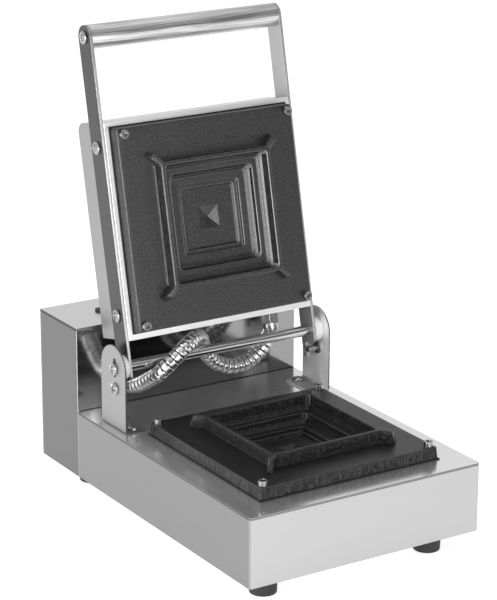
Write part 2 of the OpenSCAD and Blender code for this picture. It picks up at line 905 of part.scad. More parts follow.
module handle_tube() {
    color("white") on_lid() difference() {
        rod_x(arm_inner_x, case_w - arm_inner_x, handle_reach, arm_mid_n, handle_d);
        rod_x(arm_inner_x - overrun, case_w - arm_inner_x + overrun, handle_reach, arm_mid_n,
            handle_d - 2 * handle_wall);
    }
}

module handle_plugs() {
    color("silver") on_lid() on_both_sides() difference() {
        rod_x(arm_inner_x, arm_inner_x + handle_plug_len, handle_reach, arm_mid_n,
            handle_d - 2 * handle_wall - 2 * turning_fit);
        rod_x(arm_inner_x - overrun, arm_inner_x + handle_screw_len, handle_reach, arm_mid_n,
            handle_screw_d + 2 * screw_fit);
    }
}

module handle_screws() {
    color("white") on_lid() on_both_sides() translate([arm_outer_x, handle_reach, arm_mid_n])
        rotate([0, -90, 0]) pan_screw(pan_d, pan_h, handle_screw_d, handle_screw_len);
}

module arm_screws() {
    nut_h = arm_screw_d * nut_height_share;
    wall_x = arm_inner_x + sheet;
    color("white") on_lid() for (side = [-1, 1]) on_both_sides()
        translate([0, plate_reach + side * arm_screw_spread, arm_mid_n]) {
            translate([arm_outer_x, 0, 0]) rotate([0, -90, 0])
                pan_screw(pan_d, pan_h, arm_screw_d, arm_screw_len);
            translate([wall_x, 0, 0]) rotate([0, 90, 0])
                hex_nut(arm_screw_d * nut_flats_share, nut_h, arm_screw_d + 2 * screw_fit);
        }
}

// Lid housing

module housing_block(low_x, high_x, inset, corner) {
    low_u = housing_low_u + inset;
    top_u = housing_top_u - inset;
    back_n = housing_back_n + inset;
    front_n = housing_front_n - inset;
    box([low_x, low_u, back_n + corner], [high_x, top_u, front_n]);
    box([low_x, low_u, back_n], [high_x, top_u - corner, front_n]);
    rod_x(low_x, high_x, top_u - corner, back_n + corner, 2 * corner);
}

module lid_housing() {
    low_x = arm_inner_x;
    high_x = case_w - arm_inner_x;
    color("gainsboro") on_lid() difference() {
        housing_block(low_x, high_x, 0, housing_round);
        housing_block(low_x + sheet, high_x - sheet, sheet, housing_round - sheet);
        translate([mid_x, plate_reach, 0]) {
            square_block(opening_half, 0, housing_front_n + overrun);
            at_corners(bolt_half, bolt_half)
                cylinder(d = bolt_d + 2 * screw_fit, h = housing_front_n + overrun);
        }
        box([low_x + back_opening_side, housing_low_u + back_opening_low, housing_back_n - overrun],
            [high_x - back_opening_side, housing_top_u - back_opening_low, housing_back_n + sheet + overrun]);
        for (side = [-1, 1]) rod_x(low_x - overrun, high_x + overrun, plate_reach + side * arm_screw_spread,
            arm_mid_n, arm_screw_d + 2 * screw_fit);
        translate([lid_gland_x, housing_low_u - overrun, lid_gland_n]) rotate([-90, 0, 0])
            cylinder(d = gland_thread_d + 2 * screw_fit, h = sheet + 2 * overrun);
        at_cover_screws() translate([0, 0, housing_back_n - overrun])
            cylinder(d = lid_screw_d + 2 * screw_fit, h = sheet + 2 * overrun);
    }
}

module at_cover_screws() {
    inset = cover_overlap / 2;
    low_x = arm_inner_x + back_opening_side - inset;
    for (x = [low_x, case_w - low_x], u = [housing_low_u + back_opening_low - inset,
        housing_top_u - back_opening_low + inset]) translate([x, u, 0]) children();
}

module lid_back_cover() {
    low_x = arm_inner_x + back_opening_side - cover_overlap;
    color("silver") on_lid() difference() {
        box([low_x, housing_low_u + back_opening_low - cover_overlap, housing_back_n - cover_sheet],
            [case_w - low_x, housing_top_u - back_opening_low + cover_overlap, housing_back_n]);
        at_cover_screws() translate([0, 0, housing_back_n - cover_sheet - overrun])
            cylinder(d = lid_screw_d + 2 * screw_fit, h = cover_sheet + 2 * overrun);
    }
}

module lid_cover_screws() {
    color("silver") on_lid() at_cover_screws() translate([0, 0, housing_back_n - cover_sheet])
        mirror([0, 0, 1]) pan_screw(lid_screw_head_d, lid_screw_head_h, lid_screw_d, lid_screw_len);
}

module upper_insulation() {
    low = plate_reach - plate_w / 2 + flange_w;
    color("beige") on_lid() difference() {
        box([upper_insulation_side, low, housing_back_n + sheet],
            [case_w - upper_insulation_side, housing_top_u - housing_round, upper_insulation_n]);
        at_cover_screws() translate([0, 0, housing_back_n])
            cylinder(d = lid_screw_d + 2 * overrun, h = lid_screw_len);
    }
}

// Glands and hose

module gland(nut_len) {
    difference() {
        union() {
            translate([0, 0, sheet]) cylinder(d = gland_thread_d + 2 * lock_nut_t, h = lock_nut_t, $fn = 6);
            cylinder(d = gland_thread_d, h = sheet + lock_nut_t);
            translate([0, 0, -nut_len]) cylinder(d = gland_nut_flats / cos(30), h = nut_len, $fn = 6);
        }
        translate([0, 0, -nut_len - overrun])
            cylinder(d = gland_bore_d, h = nut_len + sheet + lock_nut_t + 2 * overrun);
    }
}

module hose_gland_base() {
    color("silver") placed() translate([base_gland_x, front_d, base_gland_z]) rotate([-90, 0, 0])
        gland(base_gland_len);
}

module hose_gland_lid() {
    color("silver") on_lid() translate([lid_gland_x, housing_low_u, lid_gland_n]) rotate([-90, 0, 0])
        gland(lid_gland_len);
}

function unit(v) = v / norm(v);
up_lid = [0, sin(lid_lean), cos(lid_lean)];
out_of_lid = [0, -cos(lid_lean), sin(lid_lean)];
hose_start = [base_gland_x, front_d - base_gland_len, base_gland_z];
hose_end = [lid_gland_x, hinge_y, hinge_z] + (housing_low_u - lid_gland_len) * up_lid
    + lid_gland_n * out_of_lid;
hose_spread_share = (lid_gland_x - base_gland_x) / hose_path_w;
hose_route = concat(
    [for (share = hose_start_shares) hose_start - [0, share * hose_d, 0]],
    [for (p = hose_path) [base_gland_x + p[0] * hose_spread_share, hinge_y + p[1], hinge_z + p[2]]],
    [for (share = hose_end_shares) hose_end - share * hose_d * up_lid]);

// A smooth curve through the route: each stretch between two points is a cubic
stretch_steps = 10;
function route_point(i) = hose_route[max(0, min(len(hose_route) - 1, i))];
function on_curve(i, t) =
    let (a = route_point(i - 1), b = route_point(i), c = route_point(i + 1), d = route_point(i + 2))
    (2 * b + (c - a) * t + (2 * a - 5 * b + 4 * c - d) * t * t + (3 * b - a - 3 * c + d) * t * t * t) / 2;
curve = concat(
    [for (i = [0 : len(hose_route) - 2], k = [0 : stretch_steps - 1]) on_curve(i, k / stretch_steps)],
    [hose_end]);
curve_length = [for (i = 0, run = 0; i < len(curve); i = i + 1,
    run = run + (i < len(curve) ? norm(curve[i] - curve[i - 1]) : 0)) run];
hose_length = curve_length[len(curve) - 1];
function along(axis, run) = lookup(run, [for (i = [0 : len(curve) - 1]) [curve_length[i], curve[i][axis]]]);
ring_count = 2 * round(hose_length / rib_pitch) + 1;
ring_middle = [for (i = [0 : ring_count - 1]) let (run = hose_length * i / (ring_count - 1))
    [along(0, run), along(1, run), along(2, run)]];
ring_way = [for (i = [0 : ring_count - 1])
    unit(ring_middle[min(ring_count - 1, i + 1)] - ring_middle[max(0, i - 1)])];
ring_side = [for (i = 0, side = [1, 0, 0]; i < ring_count; i = i + 1,
    side = i < ring_count ? unit(side - (side * ring_way[i]) * ring_way[i]) : side) side];

function ring(i, d) = [for (k = [0 : hose_sides - 1]) let (turn = 360 * k / hose_sides)
    ring_middle[i] + d / 2 * (cos(turn) * ring_side[i] + sin(turn) * cross(ring_way[i], ring_side[i]))];

// Triangles of a tube's skin from ring to ring, seen from outside
function skin_faces(first) = [for (i = [0 : ring_count - 2], k = [0 : hose_sides - 1], half = [0, 1])
    let (a = first + i * hose_sides, next = (k + 1) % hose_sides, b = a + hose_sides)
    half == 0 ? [a + k, b + k, a + next] : [a + next, b + k, b + next]];
function end_faces(outer, inner) = [for (k = [0 : hose_sides - 1], half = [0, 1])
    let (next = (k + 1) % hose_sides)
    half == 0 ? [outer + k, outer + next, inner + k] : [inner + k, outer + next, inner + next]];
function turned(faces) = [for (face = faces) [face[2], face[1], face[0]]];

module conduit_hose() {
    outer = [for (i = [0 : ring_count - 1]) each ring(i, i % 2 == 0 ? hose_root_d : hose_d)];
    inner = [for (i = [0 : ring_count - 1]) each ring(i, hose_bore_d)];
    bore = ring_count * hose_sides;
    last = bore - hose_sides;
    color("silver") placed() polyhedron(points = concat(outer, inner), faces = concat(
        skin_faces(0), turned(skin_faces(bore)),
        end_faces(0, bore), turned(end_faces(last, bore + last))));
}

// Electrical pieces

module cable_gland() {
    back = cable_gland_hex_t + cable_gland_dome_t;
    color([0.1, 0.1, 0.1]) placed() translate([cable_gland_x, case_d, cable_gland_z]) rotate([-90, 0, 0])
        difference() {
            union() {
                cylinder(d = cable_gland_d / cos(30), h = cable_gland_hex_t, $fn = 6);
                cylinder(d = cable_gland_dome_d, h = back);
                translate([0, 0, -sheet - lock_nut_t])
                    cylinder(d = cable_gland_thread_d, h = sheet + lock_nut_t);
                translate([0, 0, -sheet - lock_nut_t]) cylinder(d = cable_gland_d, h = lock_nut_t, $fn = 6);
            }
            translate([0, 0, -sheet - lock_nut_t - overrun])
                cylinder(d = cable_bore_d, h = back + sheet + lock_nut_t + 2 * overrun);
        }
}

module thermostat() {
    wall_x = case_w - sheet;
    half = thermostat_w / 2;
    color([0.85, 0.85, 0.8]) placed() difference() {
        union() {
            box([wall_x - thermostat_t, knob_y - half, knob_z - half], [wall_x, knob_y + half, knob_z + half]);
            rod_x(wall_x, case_w + neck_nut_t, knob_y, knob_z, neck_d);
            translate([case_w, knob_y, knob_z]) rotate([0, 90, 0])
                cylinder(d = neck_nut_flats / cos(30), h = neck_nut_t, $fn = 6);
        }
        rod_x(wall_x - spindle_inside - overrun, case_w + neck_nut_t + overrun, knob_y, knob_z,
            spindle_d + 2 * turning_fit);
    }
}

module knob_spindle() {
    knob_back = case_w + knob_gap;
    color("silver") placed()
        rod_x(case_w - sheet - spindle_inside, knob_back + spindle_in_knob, knob_y, knob_z, spindle_d);
}

module thermostat_knob() {
    low = knob_gap;
    color([0.1, 0.1, 0.1]) placed() translate([case_w, knob_y, knob_z]) rotate([0, 90, 0]) difference() {
        union() {
            translate([0, 0, low]) cylinder(d = knob_d, h = knob_disc_t);
            intersection() {
                cylinder(d = knob_d, h = knob_reach);
                box([-knob_d, -knob_grip_w / 2, low], [knob_d, knob_grip_w / 2, knob_reach]);
            }
        }
        translate([0, 0, low - overrun]) {
            cylinder(d = knob_recess_d, h = knob_recess_h + overrun - low);
            cylinder(d = spindle_d + turning_fit, h = spindle_in_knob + overrun);
        }
    }
}

module thermostat_bulb() {
    bulb_y = plate_mid_y + bulb_side_y;
    bulb_z = deck_h - bulb_below_deck;
    exit_x = mid_x + boss_half;
    turn_x = mid_x + shield_flange_half + flange_w;
    low_z = deck_h - 2 * flange_w;
    high_z = knob_z - thermostat_w / 2 - flange_w;
    turn_y = front_d + flange_w;
    thermostat_x = case_w - sheet - thermostat_t / 2;
    bulb_start = [exit_x - bulb_len + overrun, bulb_y, bulb_z];
    color("peru") placed() {
        translate(bulb_start) rotate([0, 90, 0]) cylinder(d = bulb_d, h = bulb_len);
        round_line([bulb_start + [bulb_len - overrun, 0, 0], [turn_x, bulb_y, bulb_z], [turn_x, bulb_y, low_z],
            [turn_x, turn_y, low_z], [turn_x, turn_y, high_z], [thermostat_x, knob_y, high_z],
            [thermostat_x, knob_y, knob_z - thermostat_w / 2]], capillary_d);
    }
}

module at_switch() {
    placed() translate([case_w, switch_y, switch_z]) children();
}

module switch_housing() {
    half_w = switch_w / 2;
    half_h = switch_h / 2;
    body_w = half_w - switch_body_inset;
    body_h = half_h - switch_body_inset;
    cavity_w = rocker_w / 2 + running_gap;
    cavity_h = rocker_r + 2 * running_gap;
    color([0.1, 0.1, 0.1]) at_switch() difference() {
        union() {
            box([0, -half_w, -half_h], [switch_bezel_t, half_w, half_h]);
            box([-switch_body_depth, -body_w, -body_h], [0, body_w, body_h]);
        }
        box([-rocker_cavity_depth, -cavity_w, -cavity_h], [switch_bezel_t + overrun, cavity_w, cavity_h]);
        translate([-rocker_pivot_depth, -cavity_w - overrun, 0]) rotate([-90, 0, 0])
            cylinder(d = rocker_pin_d + 2 * turning_fit, h = 2 * cavity_w + 2 * overrun);
    }
}

// The rocker rests with its lower half pressed in, which is off
module switch_rocker() {
    half_w = rocker_w / 2;
    half_h = rocker_r;
    pin_half = half_w + running_gap + overrun / 2;
    color([0.5, 0.05, 0.05]) at_switch() translate([-rocker_pivot_depth, 0, 0]) rotate([0, rocker_tilt, 0]) {
        intersection() {
            translate([0, half_w, 0]) rotate([90, 0, 0]) linear_extrude(rocker_w) polygon([
                [-rocker_back, -half_h], [-rocker_back, half_h], [rocker_face + rocker_rise, half_h],
                [rocker_face, 0], [rocker_face + rocker_rise, -half_h]]);
            translate([0, half_w, 0]) rotate([90, 0, 0]) cylinder(r = rocker_r, h = rocker_w);
        }
        translate([0, pin_half, 0]) rotate([90, 0, 0]) cylinder(d = rocker_pin_d, h = 2 * pin_half);
    }
}

module pilot_lamps() {
    color("orange") placed() for (i = [0, 1]) {
        z = lamp_low_z + i * lamp_step;
        rod_x(case_w, case_w + lamp_reach, lamp_y, z, lamp_d);
        rod_x(case_w - lamp_body_len, case_w, lamp_y, z, lamp_body_d);
    }
}

module terminal_block() {
    color("beige") placed() difference() {
        box([block_x, block_y, 2 * sheet], [block_x + block_w, block_y + block_t, 2 * sheet + block_h]);
        for (i = [0 : block_poles - 1], row = [1, 3])
            translate([block_x + block_w * (i + 1 / 2) / block_poles, block_y + block_t * row / 4,
                2 * sheet + block_h - block_hole_depth])
                cylinder(d = block_hole_d, h = block_hole_depth + overrun);
    }
}

module inner_wiring() {
    block_z = 2 * sheet + block_h / 2;
    front_x = block_x + block_w / 2;
    run_z = shield_low_z / 2;
    heater_x = mid_x + heater_half / 2;
    heater_z = lower_face_z - boss_back - heater_t / 2;
    heater_y = plate_mid_y + clamp_half;
    turn_y = plate_mid_y + shield_half + flange_w;
    gland_run_y = front_d + flange_w;
    color("firebrick") placed() {
        round_line([[front_x, block_y, block_z], [front_x, turn_y, block_z], [heater_x, turn_y, block_z],
            [heater_x, turn_y, heater_z], [heater_x, heater_y, heater_z]], wire_d);
        round_line([[block_x, block_y + block_t / 2, block_z], [base_gland_x, block_y + block_t / 2, block_z],
            [base_gland_x, gland_run_y, base_gland_z - gland_nut_flats],
            [base_gland_x, gland_run_y, base_gland_z],
            [base_gland_x, front_d + sheet + lock_nut_t, base_gland_z]], wire_d);
        round_line([[block_x + block_w, block_y + block_t / 2, run_z],
            [switch_x_back(), block_y + block_t / 2, run_z],
            [switch_x_back(), switch_y, run_z + flange_w], [switch_x_back(), switch_y, switch_z],
            [case_w - switch_body_depth, switch_y, switch_z]], wire_d);
        round_line([[switch_x_back(), switch_y, switch_z], [switch_x_back(), lamp_y, lamp_low_z],
            [case_w - lamp_body_len, lamp_y, lamp_low_z]], wire_d);
    }
}

function switch_x_back() = case_w - switch_body_depth - flange_w;

front_casing();
deck();
bottom_plate();
rear_box();
rear_cover();
back_panel();
feet();
foot_screws();
foot_nuts();
top_bumpers();
casing_screws();
lower_plate();
lower_plate_bolts();
lower_plate_nuts();
lower_plate_frame();
lower_heater();
lower_clamp();
lower_studs();
heat_shield();
lower_insulation();
bracket_left();
bracket_right();
bracket_screws();
stop_pins();
hose_gland_base();
cable_gland();
thermostat();
thermostat_bulb();
switch_housing();
pilot_lamps();
terminal_block();
inner_wiring();
conduit_hose();
hinge_rod();
pivot_screws();
pivot_spacers();
arm_left();
arm_right();
handle_tube();
handle_plugs();
handle_screws();
arm_screws();
lid_housing();
lid_back_cover();
lid_cover_screws();
upper_plate();
upper_plate_bolts();
upper_plate_nuts();
upper_plate_frame();
upper_heater();
upper_clamp();
upper_studs();
upper_insulation();
hose_gland_lid();
thermostat_knob();
knob_spindle();
switch_rocker();
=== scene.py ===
import math

import bmesh
import bpy
import numpy as np
from mathutils import Matrix, Vector


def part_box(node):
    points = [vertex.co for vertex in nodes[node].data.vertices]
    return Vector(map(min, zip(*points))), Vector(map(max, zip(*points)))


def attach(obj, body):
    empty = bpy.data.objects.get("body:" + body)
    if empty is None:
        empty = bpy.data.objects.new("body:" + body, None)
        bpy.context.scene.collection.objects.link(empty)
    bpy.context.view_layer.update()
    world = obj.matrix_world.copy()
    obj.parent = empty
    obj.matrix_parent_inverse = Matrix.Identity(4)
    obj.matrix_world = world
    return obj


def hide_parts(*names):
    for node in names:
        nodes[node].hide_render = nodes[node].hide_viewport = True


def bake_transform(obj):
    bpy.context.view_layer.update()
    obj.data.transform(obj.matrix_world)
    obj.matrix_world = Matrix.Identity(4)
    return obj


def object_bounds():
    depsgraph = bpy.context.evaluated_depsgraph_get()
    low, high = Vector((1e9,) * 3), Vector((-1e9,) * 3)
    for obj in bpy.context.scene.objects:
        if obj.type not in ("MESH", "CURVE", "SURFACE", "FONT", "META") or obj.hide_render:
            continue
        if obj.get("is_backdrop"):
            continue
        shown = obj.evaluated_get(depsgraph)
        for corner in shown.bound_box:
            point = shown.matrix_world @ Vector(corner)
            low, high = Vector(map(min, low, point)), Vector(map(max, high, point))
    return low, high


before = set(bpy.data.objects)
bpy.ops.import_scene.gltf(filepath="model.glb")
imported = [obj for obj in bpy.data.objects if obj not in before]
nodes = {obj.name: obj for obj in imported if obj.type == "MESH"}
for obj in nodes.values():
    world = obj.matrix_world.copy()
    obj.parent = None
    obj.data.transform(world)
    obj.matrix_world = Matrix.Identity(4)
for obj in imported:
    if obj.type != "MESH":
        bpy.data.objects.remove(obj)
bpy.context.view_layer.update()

# The camera of the photograph: it looks down on the waffle maker from its front left
# corner through a long lens, so that upright edges hardly lean.
CAMERA_PLACE = (-1.23003, -1.92557, 0.94472)
CAMERA_TURN = -32.47
CAMERA_DOWN = 17.87
CAMERA_ROLL = 0.24
LENS = 146.79
camera = bpy.data.objects.new("camera", bpy.data.cameras.new("camera"))
bpy.context.scene.collection.objects.link(camera)
bpy.context.scene.camera = camera
camera.data.lens = LENS
camera.matrix_world = (
    Matrix.Translation(CAMERA_PLACE)
    @ Matrix.Rotation(math.radians(CAMERA_TURN), 4, "Z")
    @ Matrix.Rotation(math.radians(90 - CAMERA_DOWN), 4, "X")
    @ Matrix.Rotation(math.radians(CAMERA_ROLL), 4, "Z")
)

# The lead conduit is a ribbed tube of bright metal that carries the heater leads from the rear
# box to the lid. It is clamped in a gland at each end. The real conduit bends as the lid closes;
# here it is one fixed mesh.
# Places are measured from the casing's front left lower corner and then moved by ORIGIN.
ORIGIN = np.array([0.137, 0.212, -0.0125])
CASE_MIDDLE = 0.13
LEAN = math.radians(12.4)
HINGE = np.array([CASE_MIDDLE, 0.2625, 0.1325]) - ORIGIN
UP_LID = np.array([0, math.sin(LEAN), math.cos(LEAN)])
OUT_OF_LID = np.array([0, -math.cos(LEAN), math.sin(LEAN)])
HOSE_WIDTH = 0.016
HOSE_ROOT_SHARE = 0.83
RIB_PITCH = 0.0062
RIB_FULLNESS = 1.5
RIB_POWER = 0.6
RINGS_PER_RIB = 14
HOSE_SIDES = 40
GLAND_FACE = np.array([0.046, 0.315, 0.098]) - ORIGIN
LID_GLAND_ASIDE = np.array([0.206 - CASE_MIDDLE, 0, 0])
LID_GLAND_UP = 0.0115
LID_GLAND_BACK = 0.022
LID_GLAND_FACE = HINGE + LID_GLAND_ASIDE + LID_GLAND_UP * UP_LID - LID_GLAND_BACK * OUT_OF_LID
MILLIMETRE = 0.001
HOSE_PATH = [
    [0.8, 28.1, -33.1], [2.2, 17.1, -28.3], [4.2, 4.5, -20.5], [7.8, -14.1, -7.3],
    [17, -21, 5], [28.4, -20, 13.5], [41, -13.9, 17.5], [53.4, -3.3, 17.3],
    [63.4, 6.5, 14.1], [70.4, 13.5, 7.5], [74.8, 17.7, 0.1], [78.8, 20.5, -7.9],
    [84.2, 22.1, -15.9], [91.8, 22.5, -22.7], [101, 21.9, -27.7], [111.4, 20.9, -30.8],
    [124.3, 20.3, -30.2], [135, 20.3, -26.8], [142.8, 20.4, -21.8], [149, 20.8, -15.4],
    [154, 21.4, -9], [158.1, 22.1, -3.7],
]
START_STEPS = [0, 0.5, 1]
END_STEPS = [0.4, 0.2, 0]
SLEEVE_LENGTH = 0.017
SLEEVE_SHARE = 0.94
SLEEVE_TAPER = 1.5


class Wire:
    """A value or colour between two shader nodes. Sums, differences and products of wires
    add Math nodes, with plain numbers on either side."""

    def __init__(self, finish, socket):
        self.finish = finish
        self.socket = socket

    def math(self, operation, first, second=0.0):
        return self.finish.node("Math", {"operation": operation}, {0: first, 1: second})

    def __add__(self, other):
        return self.math("ADD", self, other)

    __radd__ = __add__

    def __sub__(self, other):
        return self.math("SUBTRACT", self, other)

    def __rsub__(self, other):
        return self.math("SUBTRACT", other, self)

    def __mul__(self, other):
        return self.math("MULTIPLY", self, other)

    __rmul__ = __mul__

    def __gt__(self, other):
        return self.math("GREATER_THAN", self, other)

    def __lt__(self, other):
        return self.math("LESS_THAN", self, other)


class Finish:
    """A material as it is put together. node() adds one shader node: its settings first,
    then the values or wires of its sockets."""

    def __init__(self, name, **values):
        self.material = bpy.data.materials.new(name)
        self.material.use_nodes = True
        self.tree = self.material.node_tree
        self.shader = self.tree.nodes["Principled BSDF"]
        self.shade(**values)

    def node(self, kind, settings=None, sockets=None, out=0):
        node = self.tree.nodes.new("ShaderNode" + kind)
        for key, value in (settings or {}).items():
            setattr(node, key, value)
        for key, value in (sockets or {}).items():
            self.join(value, node.inputs[key])
        return Wire(self, node.outputs[out])

    def join(self, value, socket):
        """Links a wire to a socket, or sets the socket to a plain value."""
        if isinstance(value, Wire):
            self.tree.links.new(value.socket, socket)
        else:
            socket.default_value = value

    def shade(self, **values):
        """Sets sockets of the surface shader; base_color=0.5 means an even grey."""
        for key, value in values.items():
            if key == "base_color" and not isinstance(value, (Wire, tuple)):
                value = (value, value, value)
            if isinstance(value, tuple):
                value = (*value, 1)
            socket = key.replace("_", " ").title().replace("Ior", "IOR")
            self.join(value, self.shader.inputs[socket])
        return self

    def grey(self, dark, light, mask):
        """A grey that goes from dark to light with a mask from 0 to 1. The Mix node keeps
        its colours in sockets 6 and 7 and gives the mixed one in socket 2."""
        node = self.tree.nodes.new("ShaderNodeMix")
        node.data_type = "RGBA"
        self.join(mask, node.inputs["Factor"])
        node.inputs[6].default_value = (dark, dark, dark, 1)
        node.inputs[7].default_value = (light, light, light, 1)
        return Wire(self, node.outputs[2])

    def part(self, vector, k):
        """The x, y or z of a vector, for k of 0, 1 or 2."""
        return self.node("SeparateXYZ", None, {"Vector": vector}, out=k)

    def rise(self, value, low, high):
        """0 up to low, 1 from high on, and a straight rise in between."""
        return self.node("MapRange", None, {"Value": value, "From Min": low, "From Max": high})

    def place(self, stretch=(1, 1, 1)):
        """Object coordinates in metres, stretched."""
        point = self.node("TexCoord", out=3)
        return self.node("Mapping", None, {"Vector": point, "Scale": stretch})

    def noise(self, scale, detail=2.0, stretch=(1, 1, 1), rough=0.5, at=None):
        """Noise over the object's coordinates, or over the vector at."""
        sockets = {"Scale": scale, "Detail": detail, "Roughness": rough}
        return self.node("TexNoise", None, {"Vector": at or self.place(stretch), **sockets})

    def bump(self, height, distance):
        """Raises the surface by height times distance in metres."""
        normal = self.node("Bump", None, {"Distance": distance, "Height": height})
        self.join(normal, self.shader.inputs["Normal"])
        return self

    def on(self, *pieces):
        """Gives every named CAD node or piece this material."""
        for piece in pieces:
            thing = nodes[piece] if isinstance(piece, str) else piece
            thing.data.materials.clear()
            thing.data.materials.append(self.material)
        return self


def smooth_curve(points, steps=10):
    """The cubic through points: each stretch between two points bends with the points
    before and after it. The same formula draws the solid hose in the part's source."""
    points = np.array(points, float)
    line = []
    for i in range(len(points) - 1):
        a, b = points[max(i - 1, 0)], points[i]
        c, d = points[i + 1], points[min(i + 2, len(points) - 1)]
        t = (np.arange(steps) / steps)[:, None]
        square = 2 * a - 5 * b + 4 * c - d
        cube = 3 * b - a - 3 * c + d
        line.append((2 * b + (c - a) * t + square * t**2 + cube * t**3) / 2)
    return np.vstack([*line, points[-1:]])


def run_length(line):
    """How far along a line each of its points lies."""
    return np.concatenate([[0], np.cumsum(np.linalg.norm(np.diff(line, axis=0), axis=1))])


def even_points(line, count):
    """count points at equal distances along a line, and the line's length."""
    run = run_length(line)
    at = np.linspace(0, run[-1], count)
    return np.stack([np.interp(at, run, line[:, k]) for k in range(3)], axis=1), run[-1]


def grid_piece(name, grid, around=True, sharp=40, wear=None):
    """A mesh from points on a grid of rows and columns: every four neighbours are a face. around
    closes each row into a ring. Rows that shrink to a point become poles, and edges that turn by
    more than sharp degrees keep a hard line. wear gives each row a number that the finish reads,
    such as how far it stands out, which sets the hose's painted groove shade, or how pale its
    edge is, partly from wear and partly a painted highlight."""
    rows, columns = grid.shape[:2]
    index = np.arange(rows * columns).reshape(rows, columns)
    if around:
        index = np.hstack([index, index[:, :1]])
    faces = np.stack([index[:-1, :-1], index[:-1, 1:], index[1:, 1:], index[1:, :-1]], axis=-1)
    mesh = bpy.data.meshes.new(name)
    mesh.from_pydata(grid.reshape(-1, 3), [], faces.reshape(-1, 4).tolist())
    if wear is not None:
        worn_and_lit = mesh.attributes.new("wear", "FLOAT", "POINT")
        worn_and_lit.data.foreach_set("value", np.repeat(wear, columns).astype(np.float32))
    work = bmesh.new()
    work.from_mesh(mesh)
    bmesh.ops.remove_doubles(work, verts=work.verts, dist=1e-7)
    bmesh.ops.recalc_face_normals(work, faces=work.faces)
    work.to_mesh(mesh)
    work.free()
    mesh.shade_smooth()
    mesh.set_sharp_from_angle(angle=math.radians(sharp))
    piece = bpy.data.objects.new(name, mesh)
    bpy.context.scene.collection.objects.link(piece)
    return piece


def tube_grid(line, widths, sides):
    """Rings of the given widths round a line, with the ring's zero mark carried along the
    line without twist."""
    way = np.gradient(line, axis=0)
    way /= np.linalg.norm(way, axis=1)[:, None]
    side = np.zeros_like(line)
    mark = np.array([1.0, 0, 0])
    for i, ahead in enumerate(way):
        mark = mark - (mark @ ahead) * ahead
        mark = mark / np.linalg.norm(mark)
        side[i] = mark
    other = np.cross(way, side)
    turn = np.linspace(0, 2 * math.pi, sides, endpoint=False)
    c, s = np.cos(turn)[None, :, None], np.sin(turn)[None, :, None]
    ring = c * side[:, None] + s * other[:, None]
    return line[:, None] + ring * (np.asarray(widths) / 2)[:, None, None]


hose_route = (
    [GLAND_FACE - [0, share * HOSE_WIDTH, 0] for share in START_STEPS]
    + [np.array(point) * MILLIMETRE + [GLAND_FACE[0], *HINGE[1:]] for point in HOSE_PATH]
    + [LID_GLAND_FACE - share * HOSE_WIDTH * UP_LID for share in END_STEPS]
)
hose_curve = smooth_curve(hose_route)
hose_length = even_points(hose_curve, 2)[1]
rib_count = round(hose_length / RIB_PITCH)
hose_line = even_points(hose_curve, rib_count * RINGS_PER_RIB + 1)[0]
rib_phase = np.arange(len(hose_line)) / RINGS_PER_RIB
crest = np.minimum(1, RIB_FULLNESS * np.abs(np.sin(math.pi * rib_phase)) ** RIB_POWER)
hose_widths = HOSE_WIDTH * (HOSE_ROOT_SHARE + (1 - HOSE_ROOT_SHARE) * crest)
to_end = hose_length - np.linspace(0, hose_length, len(hose_line))
sleeve_widths = HOSE_WIDTH * (SLEEVE_SHARE - SLEEVE_TAPER * (SLEEVE_LENGTH - to_end))
hose_widths = np.where(to_end < SLEEVE_LENGTH, sleeve_widths, hose_widths)
hose_grid = tube_grid(hose_line, hose_widths, HOSE_SIDES)
hose_grid = np.concatenate(
    [
        np.repeat(hose_line[:1, None], HOSE_SIDES, axis=1),
        hose_grid,
        np.repeat(hose_line[-1:, None], HOSE_SIDES, axis=1),
    ]
)
rib_tops = np.where(to_end < SLEEVE_LENGTH, 1, crest)
hose_crest_marks = np.concatenate([[1], rib_tops, [1]])
hose = grid_piece("ribbed_conduit", hose_grid, sharp=80, wear=hose_crest_marks)
# Painted shade: the grooves between the ribs are painted dark and the rib crests pale, with a
# random grey over the crests.
conduit_steel = Finish("conduit_steel", metallic=1.0)
grime = conduit_steel.noise(220, 3)
rib_top = conduit_steel.node("Attribute", {"attribute_name": "wear"}, out=2)
unshaded_crests = conduit_steel.rise(rib_top, 0.3, 0.97)
conduit_steel.shade(
    base_color=conduit_steel.grey(0.14, 0.88, unshaded_crests * (0.72 + 0.28 * grime)),
    roughness=0.2 + 0.12 * grime,
)
conduit_steel.on(hose)
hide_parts("conduit_hose")
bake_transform(hose)

# The casing is folded from satin stainless sheet: a front tray with a bright deck laid on it, and
# a taller rear box with its own cover. Folds and cut edges are slightly rounded. Light and shade
# are painted on the sheet by the way each face looks, and the polished wall between the hinge
# brackets is painted darker towards the right, a painted shade.
EDGE_ROUND = 0.0004
SHEET_EDGE_ROUND = 0.0006
SHARP_EDGE = math.radians(32)
FLAT_ENOUGH = math.radians(0.3)
GRAIN_SCALE = 900
PATCH_SCALE = 9
PATCH_SPREAD = 0.014


def softened(node, body, width=EDGE_ROUND):
    """A copy of a CAD node for the picture: its loose triangles are joined into flat faces
    and its sharp edges get a small round that catches the light."""
    mesh = nodes[node].data.copy()
    work = bmesh.new()
    work.from_mesh(mesh)
    bmesh.ops.remove_doubles(work, verts=work.verts, dist=1e-6)
    bmesh.ops.dissolve_limit(work, angle_limit=FLAT_ENOUGH, verts=work.verts, edges=work.edges)
    work.to_mesh(mesh)
    work.free()
    mesh.shade_smooth()
    mesh.set_sharp_from_angle(angle=SHARP_EDGE)
    piece = bpy.data.objects.new(node + "_shown", mesh)
    bpy.context.scene.collection.objects.link(piece)
    edge = piece.modifiers.new("edge round", "BEVEL")
    edge.width = width
    edge.segments = 2
    edge.limit_method = "ANGLE"
    edge.angle_limit = SHARP_EDGE
    edge.use_clamp_overlap = False
    edge.harden_normals = True
    edge.miter_outer = "MITER_ARC"
    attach(piece, body)
    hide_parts(node)
    return piece


